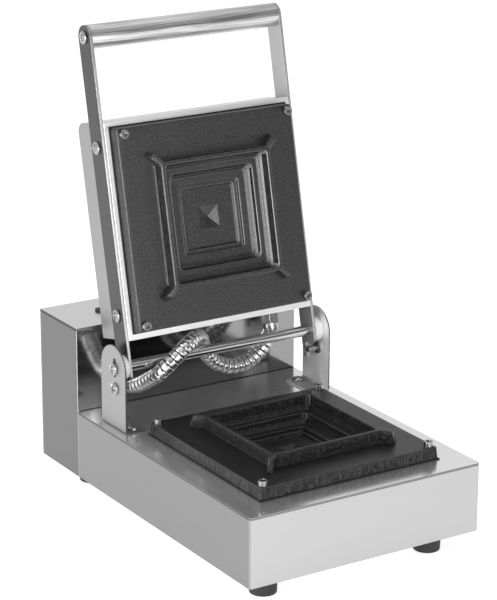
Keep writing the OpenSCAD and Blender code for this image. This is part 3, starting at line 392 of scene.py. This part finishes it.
def satin_steel(name, lit_face_tones, rough, stretch, front_rough=None, scratch=0.000006, left=0.0):
    """Stainless with a fine grain: noise drawn out along the sheet's rolling direction varies the
    gloss and raises faint scratches, and broad noise leaves wiped patches. Light and shade are
    painted by face direction: the four tones are painted shades for its side, front, upper and
    back faces, mixed by the square of the normal, and left is painted light added to faces that
    look left."""
    side_tone, front_tone, upper_tone, back_tone = lit_face_tones
    finish = Finish(name, metallic=1.0)
    grain = finish.noise(GRAIN_SCALE, 3, stretch, rough=0.7)
    patches = finish.noise(PATCH_SCALE, 3)
    level = finish.rise(grain, 0.3, 0.7)
    # Painted light and shade: the base colour follows the way each face looks, lighter or darker
    # as light falls on it.
    normal = finish.node("TexCoord", out=1)
    share = finish.node("VectorMath", {"operation": "MULTIPLY"}, {0: normal, 1: normal})
    faced = (side_tone, back_tone, upper_tone)
    tone = finish.node("VectorMath", {"operation": "DOT_PRODUCT"}, {0: share, 1: faced}, out=1)
    ahead = finish.part(share, 1) * (finish.part(normal, 1) < 0.0)
    if left:
        tone = tone + left * (finish.part(share, 0) * (finish.part(normal, 0) < 0.0))
    gloss = (rough if front_rough is None else front_rough) - rough
    finish.ahead = ahead
    finish.tone = tone + (front_tone - back_tone) * ahead + PATCH_SPREAD * (level + patches - 1.0)
    finish.shade(
        base_color=finish.tone,
        roughness=rough + gloss * ahead + 0.08 * (level - 0.5) + 0.06 * (patches - 0.5),
    )
    return finish.bump(grain, scratch)


UPRIGHT_GRAIN = (0.02, 0.02, 1)
# Painted light and shade: each sheet's four tones are painted shades for faces that look
# sideways, ahead, up and back.
front_steel = satin_steel("front_steel", (0.28, 0.53, 0.3, 0.3), 0.34, UPRIGHT_GRAIN)
deck_steel = satin_steel("deck_steel", (0.1, 0.25, 0.8, 0.2), 0.2, (0.03, 1, 1), scratch=0.000004)
box_steel = satin_steel("box_steel", (0.18, 0.86, 0.3, 0.24), 0.22, UPRIGHT_GRAIN, 0.12, 0.000003)
cover_steel = satin_steel("cover_steel", (0.06, 0.5, 0.64, 0.1), 0.3, (0.02, 1, 1))
# Painted shade: faces of the rear box that look ahead are painted darker towards the right, from
# near the left bracket on.
WALL_SHADE = 0.64
WALL_SHADE_START = -0.118
WALL_SHADE_FULL = -0.09
wall_shade_share = box_steel.rise(box_steel.part(box_steel.place(), 0), WALL_SHADE_START, WALL_SHADE_FULL)
box_steel.shade(base_color=box_steel.tone * (1.0 - WALL_SHADE * wall_shade_share * box_steel.ahead))
front_steel.on(softened("front_casing", "base", SHEET_EDGE_ROUND))
deck_steel.shade(metallic=0.85).on(softened("deck", "base"))
box_steel.on(softened("rear_box", "base", SHEET_EDGE_ROUND), softened("back_panel", "base"))
cover_steel.on(softened("rear_cover", "base"), softened("bottom_plate", "base"))

# The feet are tapered rubber pads with a recess for their screw, and two flat rubber
# buttons on the rear box keep a lifted lid off its cover.
FOOT_TOP = 0.0135
FOOT_END = 0.013
FOOT_HEIGHT = 0.0125
FOOT_RECESS = 0.006
FOOT_BORE = 0.006
FOOT_ROUND = 0.0012
FOOT_LIP_ROUND = 0.0006
FEET = [(-0.113, -0.197), (0.073, -0.197), (-0.113, 0.126), (0.073, 0.126)]
BUTTON_RADIUS = 0.005
BUTTON_HEIGHT = 0.0025
BUTTON_BASE = 0.1705
BUTTON_ROUNDS = [0.0002, 0.001]
BUTTONS = [(-0.0885, 0.1495), (0.0745, 0.1495)]


def rounded_profile(corners, rounds, steps=6):
    """A profile of straight runs whose corners are arcs: each corner is cut back by its
    round on both sides and joined by a bend of that size."""
    corners = np.array(corners, float)
    profile = [corners[0]]
    for before, corner, after, size in zip(corners, corners[1:], corners[2:], rounds):
        back = before - corner
        on = after - corner
        cut = min(size, 0.45 * np.linalg.norm(back), 0.45 * np.linalg.norm(on))
        start = corner + back / np.linalg.norm(back) * cut
        end = corner + on / np.linalg.norm(on) * cut
        t = np.linspace(0, 1, steps + 1)[:, None] if size else np.array([[0.5]])
        profile.extend(start * (1 - t) ** 2 + 2 * corner * t * (1 - t) + end * t**2)
    profile.append(corners[-1])
    return np.array(profile)


def lathe(name, profile, places, axis, sides=48):
    """A turned piece: the profile of (distance from the axis, height along it) goes once
    round the axis. Several places give one piece of several like solids."""
    axis = np.array(axis, float)
    side = np.cross(axis, [0.3, 0.5, 0.81])
    side /= np.linalg.norm(side)
    other = np.cross(axis, side)
    turn = np.linspace(0, 2 * math.pi, sides, endpoint=False)
    ring = np.cos(turn)[:, None] * side + np.sin(turn)[:, None] * other
    shape = profile[:, :1, None] * ring[None] + profile[:, 1:, None] * axis
    turned = [grid_piece(name, shape + np.array(place)) for place in places]
    for extra in turned[1:]:
        work = bmesh.new()
        work.from_mesh(turned[0].data)
        work.from_mesh(extra.data)
        work.to_mesh(turned[0].data)
        work.free()
        bpy.data.objects.remove(extra)
    turned[0].name = name
    return turned[0]


foot_profile = rounded_profile(
    [
        (0, FOOT_RECESS), (FOOT_BORE, FOOT_RECESS), (FOOT_BORE, 0), (FOOT_END, 0),
        (FOOT_TOP, FOOT_HEIGHT), (0, FOOT_HEIGHT),
    ],
    [0, FOOT_LIP_ROUND, FOOT_ROUND, FOOT_LIP_ROUND],
)
feet = lathe("rubber_feet", foot_profile, [(x, y, 0) for x, y in FEET], (0, 0, 1))
button_profile = rounded_profile(
    [(0, 0), (BUTTON_RADIUS, 0), (BUTTON_RADIUS, BUTTON_HEIGHT), (0, BUTTON_HEIGHT)],
    BUTTON_ROUNDS,
)
button_places = [(x, y, BUTTON_BASE) for x, y in BUTTONS]
buttons = lathe("rubber_buttons", button_profile, button_places, (0, 0, 1))
rubber = Finish("black_rubber", specular_ior_level=0.4)
dust = rubber.noise(400, 4)
rubber.shade(base_color=rubber.grey(0.012, 0.035, dust), roughness=0.5 + 0.25 * dust)
rubber.bump(dust, 0.00008).on(feet, buttons)
for piece, node in ((feet, "feet"), (buttons, "top_bumpers")):
    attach(piece, "base")
    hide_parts(node)

# A thin bead of dark sealant, pressed in by hand along the wall, closes the joint where the
# deck meets the rear box, so that no fat runs down between them.
BEAD_RADIUS = 0.0007
BEAD_INSET = 0.002
BEAD_END_ROUNDS = [0.0003, 0.0003]
BEAD_SIDES = 16
deck_low, deck_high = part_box("deck")
bead_half = (deck_high[0] - deck_low[0]) / 2 - BEAD_INSET
bead_place = ((deck_low[0] + deck_high[0]) / 2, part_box("rear_box")[0][1], deck_high[2])
bead_profile = rounded_profile(
    [(0, -bead_half), (BEAD_RADIUS, -bead_half), (BEAD_RADIUS, bead_half), (0, bead_half)],
    BEAD_END_ROUNDS,
)
bead = lathe("deck_sealant", bead_profile, [bead_place], (1, 0, 0), BEAD_SIDES)
sealant = Finish("dark_sealant", specular_ior_level=0.2)
lumps = sealant.noise(250, 3)
sealant.shade(base_color=sealant.grey(0.004, 0.015, lumps), roughness=0.55 + 0.2 * lumps)
sealant.bump(lumps, 0.0001).on(bead)
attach(bead, "base")

# Each cooking plate is one aluminium casting with a raised square rim, four diagonal wings
# and a stepped square hollow, milled at its edges and coated black. The lid has its twin.
PLATE_HALF = 0.1
PLATE_THICK = 0.0115
PLATE_DRAFT = 0.001
RIM_HEIGHT = 0.0128
BOSS_HALF = 0.062
BOSS_DEPTH = 0.02
PLATE_CORNERS = [
    (0, -0.0174, 0), (0.0112, -0.015, 0.0006), (0.0292, -0.015, 0.0028),
    (0.0306, -0.0124, 0.003), (0.0341, -0.0124, 0.0032), (0.0346, -0.0094, 0.0035),
    (0.0426, -0.0094, 0.005), (0.0443, -0.0076, 0.0055), (0.0450, -0.0075, 0.0055),
    (0.0468, -0.0054, 0.006), (0.0476, -0.001, 0.006), (0.0535, -0.001, 0.005),
    (0.0552, 0.0009, 0.0045), (0.0559, 0.001, 0.0045), (0.0577, 0.0032, 0.0045),
    (0.0586, RIM_HEIGHT, 0.004), (0.0625, RIM_HEIGHT, 0.003), (0.0633, 0, 0.003),
    (PLATE_HALF, 0, 0.002), (PLATE_HALF + PLATE_DRAFT, -PLATE_THICK, 0.002),
    (BOSS_HALF, -PLATE_THICK, 0.006), (BOSS_HALF, -BOSS_DEPTH, 0.006), (0, -BOSS_DEPTH, 0),
]
PLATE_ROUNDS = [
    0.0004, 0.0007, 0.0007, 0.0008, 0.0009, 0.0012, 0.0003, 0.0003, 0.0005, 0.0009, 0.0012,
    0.0003, 0.0003, 0.0005, 0.0012, 0.0014, 0.0012, 0.001, 0.0006, 0.001, 0.001,
]
ROUNDEST = 0.98
PLATE_SHARP_EDGE = math.radians(50)
LONGEST_STEP = 0.004
PYRAMID_HALF = 0.0112
PYRAMID_LEVEL = -0.0145
# Profile corners whose edges are painted paler, partly wear and partly a painted highlight, and
# how far that reaches.
WORN_AND_LIT_CORNERS = [3, 5, 10, 15, 16, 18]
WORN_AND_LIT_REACH = 0.0012
HOLLOW_REACH = 0.059
RIM_REACH = 0.064
LOWER_PLATE_PLACE = Matrix.Translation(Vector(np.array([CASE_MIDDLE, 0.129, 0.0827]) - ORIGIN))
UPPER_PLATE_UP = 0.1335
UPPER_PLATE_OUT = 0.0238
UPPER_PLATE_PLACE = Matrix.Translation(
    Vector(HINGE + UPPER_PLATE_UP * UP_LID + UPPER_PLATE_OUT * OUT_OF_LID)
) @ Matrix([
    [1, 0, 0, 0],
    [0, UP_LID[1], OUT_OF_LID[1], 0],
    [0, UP_LID[2], OUT_OF_LID[2], 0],
    [0, 0, 0, 1],
])
WING_THICK = 0.006
WING_START = 0.0605
WING_FOOT = 0.072
WING_TOP = 0.069
WING_SINK = 0.001
WING_NOSE_ROUND = 0.0026
WING_EDGE_ROUND = 0.0013
# How pale the wings' upper edges are painted: partly wear, partly a painted highlight.
WING_WEAR_AND_LIGHT = 0.45


def square_ring(half, corner, height, side_points=24, corner_points=8):
    """Points round a square with round corners, starting in the middle of its right side:
    each corner is a quarter circle of the corner's size."""
    straight = half - corner
    turns = np.linspace(0, math.pi / 2, corner_points)
    bend_x, bend_y = straight + corner * np.cos(turns), straight + corner * np.sin(turns)
    run = np.linspace(0, straight, side_points, endpoint=False)
    back = np.linspace(straight, 0, side_points, endpoint=False)
    edge = np.full(side_points, half)
    up = np.stack([edge, run], axis=1)
    across = np.stack([back, edge], axis=1)
    side = np.vstack([up, np.stack([bend_x, bend_y], axis=1), across[1:]])
    rings = []
    for k in range(4):
        c, s = round(math.cos(k * math.pi / 2)), round(math.sin(k * math.pi / 2))
        rings.append(side @ np.array([[c, s], [-s, c]]))
    ring = np.vstack(rings)
    return np.hstack([ring, np.full((len(ring), 1), height)])


def add_wings(plate):
    """Four upright bars on the plate's diagonals, from the rim's corners outward, with a
    slanted foot and soft upper edges."""
    start, foot, top = (math.sqrt(2) * reach for reach in (WING_START, WING_FOOT, WING_TOP))
    outline = rounded_profile(
        [(start, -WING_SINK), (foot, -WING_SINK), (top, RIM_HEIGHT), (start, RIM_HEIGHT)],
        [0, WING_NOSE_ROUND],
    )
    count = len(outline)
    turn = (np.arange(4)[:, None, None] + 0.5) * math.pi / 2
    half = np.array([-WING_THICK / 2, WING_THICK / 2])[:, None]
    points = np.zeros((4, 2, count, 3))
    points[..., 0] = np.cos(turn) * outline[:, 0] - np.sin(turn) * half
    points[..., 1] = np.sin(turn) * outline[:, 0] + np.cos(turn) * half
    points[..., 2] = outline[:, 1]
    near, far = np.moveaxis(np.arange(8 * count).reshape(4, 2, count), 1, 0)
    sides = np.stack([near, far, np.roll(far, -1, axis=1), np.roll(near, -1, axis=1)], axis=-1)
    faces = [*near.tolist(), *far[:, ::-1].tolist(), *sides.reshape(-1, 4).tolist()]
    wings = bpy.data.meshes.new("wings")
    wings.from_pydata(points.reshape(-1, 3), [], faces)
    wear = wings.attributes.new("wear", "FLOAT", "POINT")
    wear.data.foreach_set("value", np.where(points[..., 2] > 0, WING_WEAR_AND_LIGHT, 0.0).ravel())
    work = bmesh.new()
    work.from_mesh(wings)
    bmesh.ops.recalc_face_normals(work, faces=work.faces)
    ends = [face for face in work.faces if len(face.verts) == count]
    rim = {edge for end in ends for edge in end.edges if min(v.co.z for v in edge.verts) > 0}
    bmesh.ops.bevel(
        work, geom=list(rim), offset=WING_EDGE_ROUND, segments=4, affect="EDGES", profile=0.5
    )
    work.from_mesh(plate.data)
    work.to_mesh(plate.data)
    work.free()


def cast_plate(name, place):
    """The plate's stepped profile carried round a square, with its four wings. A corner of
    the profile is its distance from the middle, its height and how round the square is
    there. The plate's own coordinates go into an attribute for the coating."""
    corners = np.array(PLATE_CORNERS)
    run = rounded_profile(corners[:, :2], PLATE_ROUNDS)
    finer = []
    for first, second in zip(run, run[1:]):
        count = max(1, int(np.linalg.norm(second - first) / LONGEST_STEP))
        finer.extend(first + (second - first) * k / count for k in range(count))
    run = np.array([*finer, run[-1]])
    along, mine = run_length(corners[:, :2]), run_length(run)
    bend = np.interp(mine / mine[-1] * along[-1], along, corners[:, 2])
    bend = np.minimum(bend, run[:, 0] * ROUNDEST)
    rings = [
        square_ring(max(half, 0), max(size, 0), height) for (half, height), size in zip(run, bend)
    ]
    worn_and_lit = corners[None, WORN_AND_LIT_CORNERS, :2]
    gaps = np.linalg.norm(run[:, None] - worn_and_lit, axis=2).min(axis=1)
    plate = grid_piece(name, np.array(rings), wear=np.clip(1 - gaps / WORN_AND_LIT_REACH, 0, 1))
    add_wings(plate)
    mesh = plate.data
    mesh.shade_smooth()
    mesh.set_sharp_from_angle(angle=PLATE_SHARP_EDGE)
    centre = np.zeros(len(mesh.polygons) * 3, np.float32)
    mesh.polygons.foreach_get("center", centre)
    centre = centre.reshape(-1, 3)
    pyramid = (centre[:, 2] < PYRAMID_LEVEL) & (np.abs(centre[:, :2]).max(axis=1) < PYRAMID_HALF)
    mesh.polygons.foreach_set("use_smooth", ~pyramid)
    spot = np.zeros(len(mesh.vertices) * 3, np.float32)
    mesh.vertices.foreach_get("co", spot)
    mesh.attributes.new("plate_place", "FLOAT_VECTOR", "POINT").data.foreach_set("vector", spot)
    mesh.transform(place)
    mesh.update()
    return plate


def coated_casting(name, dark, light, gloss, cutting, painted_glint):
    """Black non-stick coating: orange-peel bumps, fine bright flecks, edges paler, partly from
    wear and partly a painted highlight, and on the milled sides the upright marks of the cutter
    under the coat. Slants of the hollow and the pale edges that look sideways get a further
    painted highlight, the glint. The noise is lifted off the zero level of its lattice, where it
    would be flat."""
    finish = Finish(name, metallic=0.0, specular_ior_level=gloss)
    spot = finish.node("Attribute", {"attribute_name": "plate_place"}, out=1)
    lifted = finish.node("Mapping", None, {"Vector": spot, "Location": (0.0, 0.0, 0.0105)})
    drawn = finish.node("Mapping", None, {"Vector": spot, "Scale": (1, 1, 0.04)})
    peel = finish.noise(900, 3, at=lifted)
    fleck = finish.rise(finish.noise(850, 1, at=lifted), 0.52, 0.64)
    cloud = finish.noise(30, 4, at=spot)
    cuts = finish.noise(1100, 2, at=drawn)
    cut = finish.rise(cuts, 0.5, 0.68)
    size = finish.node("VectorMath", {"operation": "ABSOLUTE"}, {0: spot})
    reach = spot.math("MAXIMUM", finish.part(size, 0), finish.part(size, 1))
    milled = (reach > PLATE_HALF - 0.0001) * (finish.part(spot, 2) < -0.0008)
    wear_and_light_mark = finish.node("Attribute", {"attribute_name": "wear"}, out=2)
    # Pale edges: partly wear, partly a painted highlight.
    worn_and_lit = finish.rise(wear_and_light_mark * (0.5 + cloud), 0.3, 1.0)
    grey = finish.grey(dark, light, fleck * 0.6 + cloud * 0.05 + milled * cut * cutting + worn_and_lit)
    aside = finish.part(finish.node("TexCoord", out=1), 0)
    level = aside.math("ABSOLUTE", aside)
    # Painted highlight on slants of the hollow and on pale rim edges that look sideways.
    slant_highlight = (level > 0.35) * (level < 0.94) * (reach < HOLLOW_REACH) * level
    edges = worn_and_lit * level * (reach < RIM_REACH)
    finish.shade(
        base_color=grey + painted_glint * ((0.72 + 0.3 * fleck) * slant_highlight + edges),
        roughness=0.3 + 0.08 * cloud + 0.06 * fleck,
    )
    return finish.bump(peel + milled * cuts * (6.0 * cutting), 0.00016)


lower_plate = cast_plate("lower_cooking_plate", LOWER_PLATE_PLACE)
upper_plate = cast_plate("upper_cooking_plate", UPPER_PLATE_PLACE)
# Only the upper plate gets the painted highlight on its slants and edges.
coated_casting("plate_coating", 0.001, 0.09, 0.74, 0.0, 0.3).on(upper_plate)
coated_casting("lower_plate_coating", 0.001, 0.075, 0.3, 0.7, 0.0).on(lower_plate)
for piece, node, body in (
    (lower_plate, "lower_plate", "base"), (upper_plate, "upper_plate", "lid")
):
    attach(piece, body)
    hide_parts(node)

# A thin black gasket of pressed fibre lies between each plate and its sheet. The plate's four
# bolts clamp it. Its black also stands for the shadow in the gap under each plate: partly a
# painted shadow.
gasket = Finish("black_gasket", specular_ior_level=0.3)
fibres = gasket.noise(700, 3)
gasket.shade(base_color=gasket.grey(0.01, 0.03, fibres), roughness=0.6 + 0.2 * fibres)
gasket.bump(fibres, 0.00005).on("lower_plate_frame", "upper_plate_frame")

# Bolts, screws, stop pins and the conduit's two glands are turned from bright stainless
# steel, with their edges broken.
FASTENER_ROUND = 0.0003
bright_steel = Finish("bright_steel", metallic=1.0)
wear = bright_steel.noise(500, 3)
bright_steel.shade(base_color=bright_steel.grey(0.3, 0.52, wear), roughness=0.14 + 0.12 * wear)
for node, body in (
    ("lower_plate_bolts", "base"), ("bracket_screws", "base"), ("stop_pins", "base"),
    ("casing_screws", "base"), ("foot_screws", "base"), ("hose_gland_base", "base"),
    ("upper_plate_bolts", "lid"), ("pivot_screws", "lid"), ("handle_screws", "lid"),
    ("arm_screws", "lid"), ("lid_cover_screws", "lid"), ("hose_gland_lid", "lid"),
):
    bright_steel.on(softened(node, body, FASTENER_ROUND))

# The hinge brackets are bent from thick satin plate and screwed to the deck. Their edge faces are
# painted darker, a painted shade, and the far bracket has a lit copy of the finish whose faces
# that look left are painted lighter, a painted light. The pivot screw runs in an upright slot
# that sets the lid's height; the slot's dark opening is a black sheet on the bracket's face, a
# painted shade.
SLOT_FACES = (-0.1277, 0.1137)
SLOT_HALF_WIDTH = 0.0026
SLOT_HALF_RUN = 0.0072
SLOT_RISE = 0.001
SLOT_PROUD = 0.0001
SLOT_SIDES = 32
BRACKET_GRAIN = (1, 0.03, 0.03)
# Painted shade: the brackets' front and back edge faces are painted darker than their sides.
near_steel = satin_steel("bracket_steel", (0.38, 0.12, 0.34, 0.12), 0.5, BRACKET_GRAIN)
near_steel.on(softened("bracket_left", "base"))
# Painted light: the far bracket is a lit copy of the finish, its faces that look left painted
# lighter and its metal less metallic.
far_lit_tones = (0.34, 0.12, 0.34, 0.12)
far_steel_painted_lit = satin_steel("bracket_steel_far_painted_lit", far_lit_tones, 0.5, BRACKET_GRAIN, left=0.56)
far_steel_painted_lit.shade(metallic=0.75).on(softened("bracket_right", "base"))


def slot_grid(x, out):
    """The mouth of the slot as a black sheet, a painted shade that stands for the dark inside of
    the slot: a circle pulled apart by the run, drawn a hair proud of the bracket's face."""
    turn = (np.arange(SLOT_SIDES) + 0.5) / SLOT_SIDES * 2 * math.pi
    edge = np.zeros((SLOT_SIDES, 3))
    edge[:, 1] = SLOT_HALF_WIDTH * np.cos(turn)
    edge[:, 2] = SLOT_HALF_WIDTH * np.sin(turn) + SLOT_HALF_RUN * np.sign(np.sin(turn))
    rows = [(0, out), (1, out), (1, -out), (0, -out)]
    middle = np.array([x, HINGE[1], HINGE[2] + SLOT_RISE])
    return np.array([middle + size * edge + [off * SLOT_PROUD, 0, 0] for size, off in rows])


# Painted shade: the black of the slot sheets stands for the shade inside the slot, with a grey
# that varies at random.
slot_black = Finish("slot_black", specular_ior_level=0.2)
slot_shade_mottle = slot_black.noise(500, 3)
slot_black.shade(base_color=slot_black.grey(0.01, 0.05, slot_shade_mottle), roughness=0.5 + 0.3 * slot_shade_mottle)
for slot_name, x, out in zip(("pivot_slot_left", "pivot_slot_right"), SLOT_FACES, (-1, 1)):
    pivot_slot = grid_piece(slot_name, slot_grid(x, out))
    slot_black.on(pivot_slot)
    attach(pivot_slot, "base")

# The hinge rod and the handle are bright tubes across the two arms, held by screws
# through the arms, with white nylon discs between the arms and the brackets.
ARM_INNER = 0.1068
ROD_RADIUS = 0.0055
HANDLE_RADIUS = 0.012
HANDLE_UP = 0.3235
HANDLE_BACK = 0.0015
HANDLE_PLACE = HINGE + HANDLE_UP * UP_LID - HANDLE_BACK * OUT_OF_LID
BAR_END_ROUNDS = [0.0003, 0.0003]
SPACER_ROUND = 0.0005
BAR_SIDES = 96


def bar(name, radius, centre, node):
    """A straight round bar from arm to arm across the lid, with broken edges at its ends."""
    corners = [(0, -ARM_INNER), (radius, -ARM_INNER), (radius, ARM_INNER), (0, ARM_INNER)]
    profile = rounded_profile(corners, BAR_END_ROUNDS)
    piece = lathe(name, profile, [centre], (1, 0, 0), BAR_SIDES)
    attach(piece, "lid")
    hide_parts(node)
    return piece


rod = bar("hinge_rod_shown", ROD_RADIUS, HINGE, "hinge_rod")
handle = bar("handle_bar", HANDLE_RADIUS, HANDLE_PLACE, "handle_tube")
for tube, tube_finish, dark, light, rough in (
    (rod, "rod_steel", 0.4, 0.8, 0.12), (handle, "handle_steel", 0.38, 0.76, 0.28)
):
    drawn = Finish(tube_finish, metallic=1.0)
    streaks = drawn.rise(drawn.noise(GRAIN_SCALE, 3, (0.02, 1, 1)), 0.35, 0.65)
    drawn.shade(base_color=drawn.grey(dark, light, streaks), roughness=rough + 0.1 * streaks)
    drawn.bump(streaks, 0.000003).on(tube)
nylon = Finish("white_nylon", base_color=0.8, roughness=0.4)
nylon.bump(nylon.noise(600, 2), 0.00002)
nylon.on(softened("pivot_spacers", "lid", SPACER_ROUND))

# The arms are flat satin bars down both sides of the lid, with a hook at the foot that
# meets the stop pin when the lid is open.
ARM_GRAIN = (1, 0.2, 0.02)
# Painted light and shade: each face of an arm has its own painted shade by the way it looks, and
# the far arm has a lit copy of the finish, paler and less metallic.
arm_steel = satin_steel("arm_steel", (0.095, 0.6, 0.2, 0.1), 0.34, ARM_GRAIN)
arm_steel.on(softened("arm_left", "lid"))
arm_steel_far_painted_lit = satin_steel("arm_steel_far_painted_lit", (0.4, 0.4, 0.3, 0.2), 0.4, ARM_GRAIN)
arm_steel_far_painted_lit.shade(metallic=0.7).on(softened("arm_right", "lid"))

# The lid housing is a shallow box of satin sheet round the upper plate, closed at the back
# by a screwed cover.
# Painted light and shade: each face of the housing has its own painted shade by the way it looks.
lid_steel = satin_steel("lid_steel", (0.36, 0.96, 0.7, 0.3), 0.36, (0.03, 0.3, 1))
lid_steel.on(softened("lid_housing", "lid", SHEET_EDGE_ROUND), softened("lid_back_cover", "lid"))

# The knob, the rocker switch, the pilot lamps and the cable gland are moulded plastic in
# black, red and amber. They sit in holes in the right side and the back of the rear box.
MOULDED_ROUND = 0.0008
SMALL_ROUND = 0.0005
moulding = Finish("black_moulding", specular_ior_level=0.5)
grainy = moulding.noise(900, 2)
moulding.shade(base_color=moulding.grey(0.015, 0.03, grainy), roughness=0.38 + 0.15 * grainy)
moulding.bump(grainy, 0.00003).on(
    softened("thermostat_knob", "knob", MOULDED_ROUND),
    softened("switch_housing", "base"),
    softened("cable_gland", "base", SMALL_ROUND),
)
red_moulding = Finish("red_moulding", base_color=(0.35, 0.012, 0.01), roughness=0.25)
red_moulding.bump(red_moulding.noise(300, 2), 0.00001)
red_moulding.on(softened("switch_rocker", "rocker", SMALL_ROUND))
lens = Finish("amber_lens", base_color=(0.75, 0.2, 0.02), roughness=0.15, coat_weight=0.5)
facets = lens.node("TexWave", {"wave_type": "RINGS"}, {"Vector": lens.place(), "Scale": 400.0})
lens.bump(facets, 0.00005).on(softened("pilot_lamps", "base", MOULDED_ROUND))

# What is inside the casing and the lid: heaters, clamps, studs, nuts, shield, insulation,
# thermostat, leads and terminal block. Each keeps its solid.
plain_steel = satin_steel("plain_steel", (0.5, 0.5, 0.5, 0.5), 0.35, (1, 1, 1))
plain_steel.on(
    "foot_nuts", "lower_plate_nuts", "upper_plate_nuts", "lower_heater", "upper_heater",
    "lower_clamp", "upper_clamp", "lower_studs", "upper_studs", "heat_shield", "handle_plugs",
    "knob_spindle",
)
fibre = Finish("ceramic_fibre", roughness=0.95)
fluff = fibre.noise(300, 5)
fibre.shade(base_color=fibre.grey(0.6, 0.85, fluff)).bump(fluff, 0.0006)
fibre.on("lower_insulation", "upper_insulation")
pale_moulding = Finish("pale_moulding", base_color=(0.75, 0.72, 0.62), roughness=0.45)
pale_moulding.bump(pale_moulding.noise(500, 2), 0.00003)
pale_moulding.on("thermostat", "terminal_block")
copper = Finish("copper_capillary", base_color=(0.7, 0.35, 0.2), metallic=1.0)
copper.shade(roughness=0.25 + 0.2 * copper.noise(200, 3)).on("thermostat_bulb")
silicone = Finish("lead_sleeves", base_color=(0.3, 0.03, 0.025))
silicone.shade(roughness=0.45 + 0.2 * silicone.noise(200, 3)).on("inner_wiring")

# The studio: a pale floor, soft lights from above, from the left and from the front, a low
# narrow card at the front right, and a surround that is brighter behind and above.
FLOOR_HALF = 30.0
FLOOR_GLOW = 0.78
CARD_HEIGHT = 0.28
side = FLOOR_HALF * np.array([-1, 1])
floor_grid = np.stack([*np.meshgrid(side, side), np.zeros((2, 2))], axis=-1)
floor = grid_piece("floor", floor_grid, around=False)
paper = Finish("floor_paper", roughness=0.9, specular_ior_level=0.0)
paper.shade(emission_color=(1.0, 1.0, 1.0))
paper.shader.inputs["Emission Strength"].default_value = FLOOR_GLOW
paper.shade(base_color=paper.grey(0.5, 0.52, paper.noise(3, 2)))
paper.on(floor)
floor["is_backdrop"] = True
LIGHTS = {
    "overhead": ((-0.1, 0.35, 1.7), (0, 0.05, 0.1), 1.8, 5),
    "left": ((-2.3, -0.25, 0.4), (0, 0, 0.25), 0.8, 42),
    "front": ((-0.1, -2.4, 0.5), (0, 0, 0.25), 0.8, 26),
    "card": ((1.2, -2.05, 0.54), (0, 0.05, 0.42), 1.0, 0.45),
}
for name, (place, aim, size, power) in LIGHTS.items():
    light = bpy.data.objects.new(name, bpy.data.lights.new(name, "AREA"))
    bpy.context.scene.collection.objects.link(light)
    light.data.size = size
    light.data.energy = power
    if name == "card":
        light.data.shape = "RECTANGLE"
        light.data.size_y = CARD_HEIGHT
    light.location = place
    light.rotation_euler = (Vector(aim) - Vector(place)).to_track_quat("-Z", "Y").to_euler()
world = bpy.data.worlds.new("studio")
bpy.context.scene.world = world
world.use_nodes = True
sky = world.node_tree
toward = sky.nodes.new("ShaderNodeTexCoord")
split = sky.nodes.new("ShaderNodeSeparateXYZ")
sky.links.new(toward.outputs["Generated"], split.inputs[0])
brighter = sky.nodes.new("ShaderNodeMath")
brighter.operation = "MAXIMUM"
for k, (axis, low, high, dim, bright) in enumerate(
    (("Y", -0.7, 0.7, 0.14, 0.85), ("Z", 0.4, 0.75, 0.0, 0.62))
):
    fade = sky.nodes.new("ShaderNodeMapRange")
    fade.interpolation_type = "SMOOTHSTEP"
    limits = {"From Min": low, "From Max": high, "To Min": dim, "To Max": bright}
    for socket, value in limits.items():
        fade.inputs[socket].default_value = value
    sky.links.new(split.outputs[axis], fade.inputs["Value"])
    sky.links.new(fade.outputs[0], brighter.inputs[k])
sky.links.new(brighter.outputs[0], sky.nodes["Background"].inputs["Strength"])
sky.nodes["Background"].inputs["Color"].default_value = (1, 1, 1, 1)
bpy.context.scene.view_settings.view_transform = "Standard"

low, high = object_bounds()
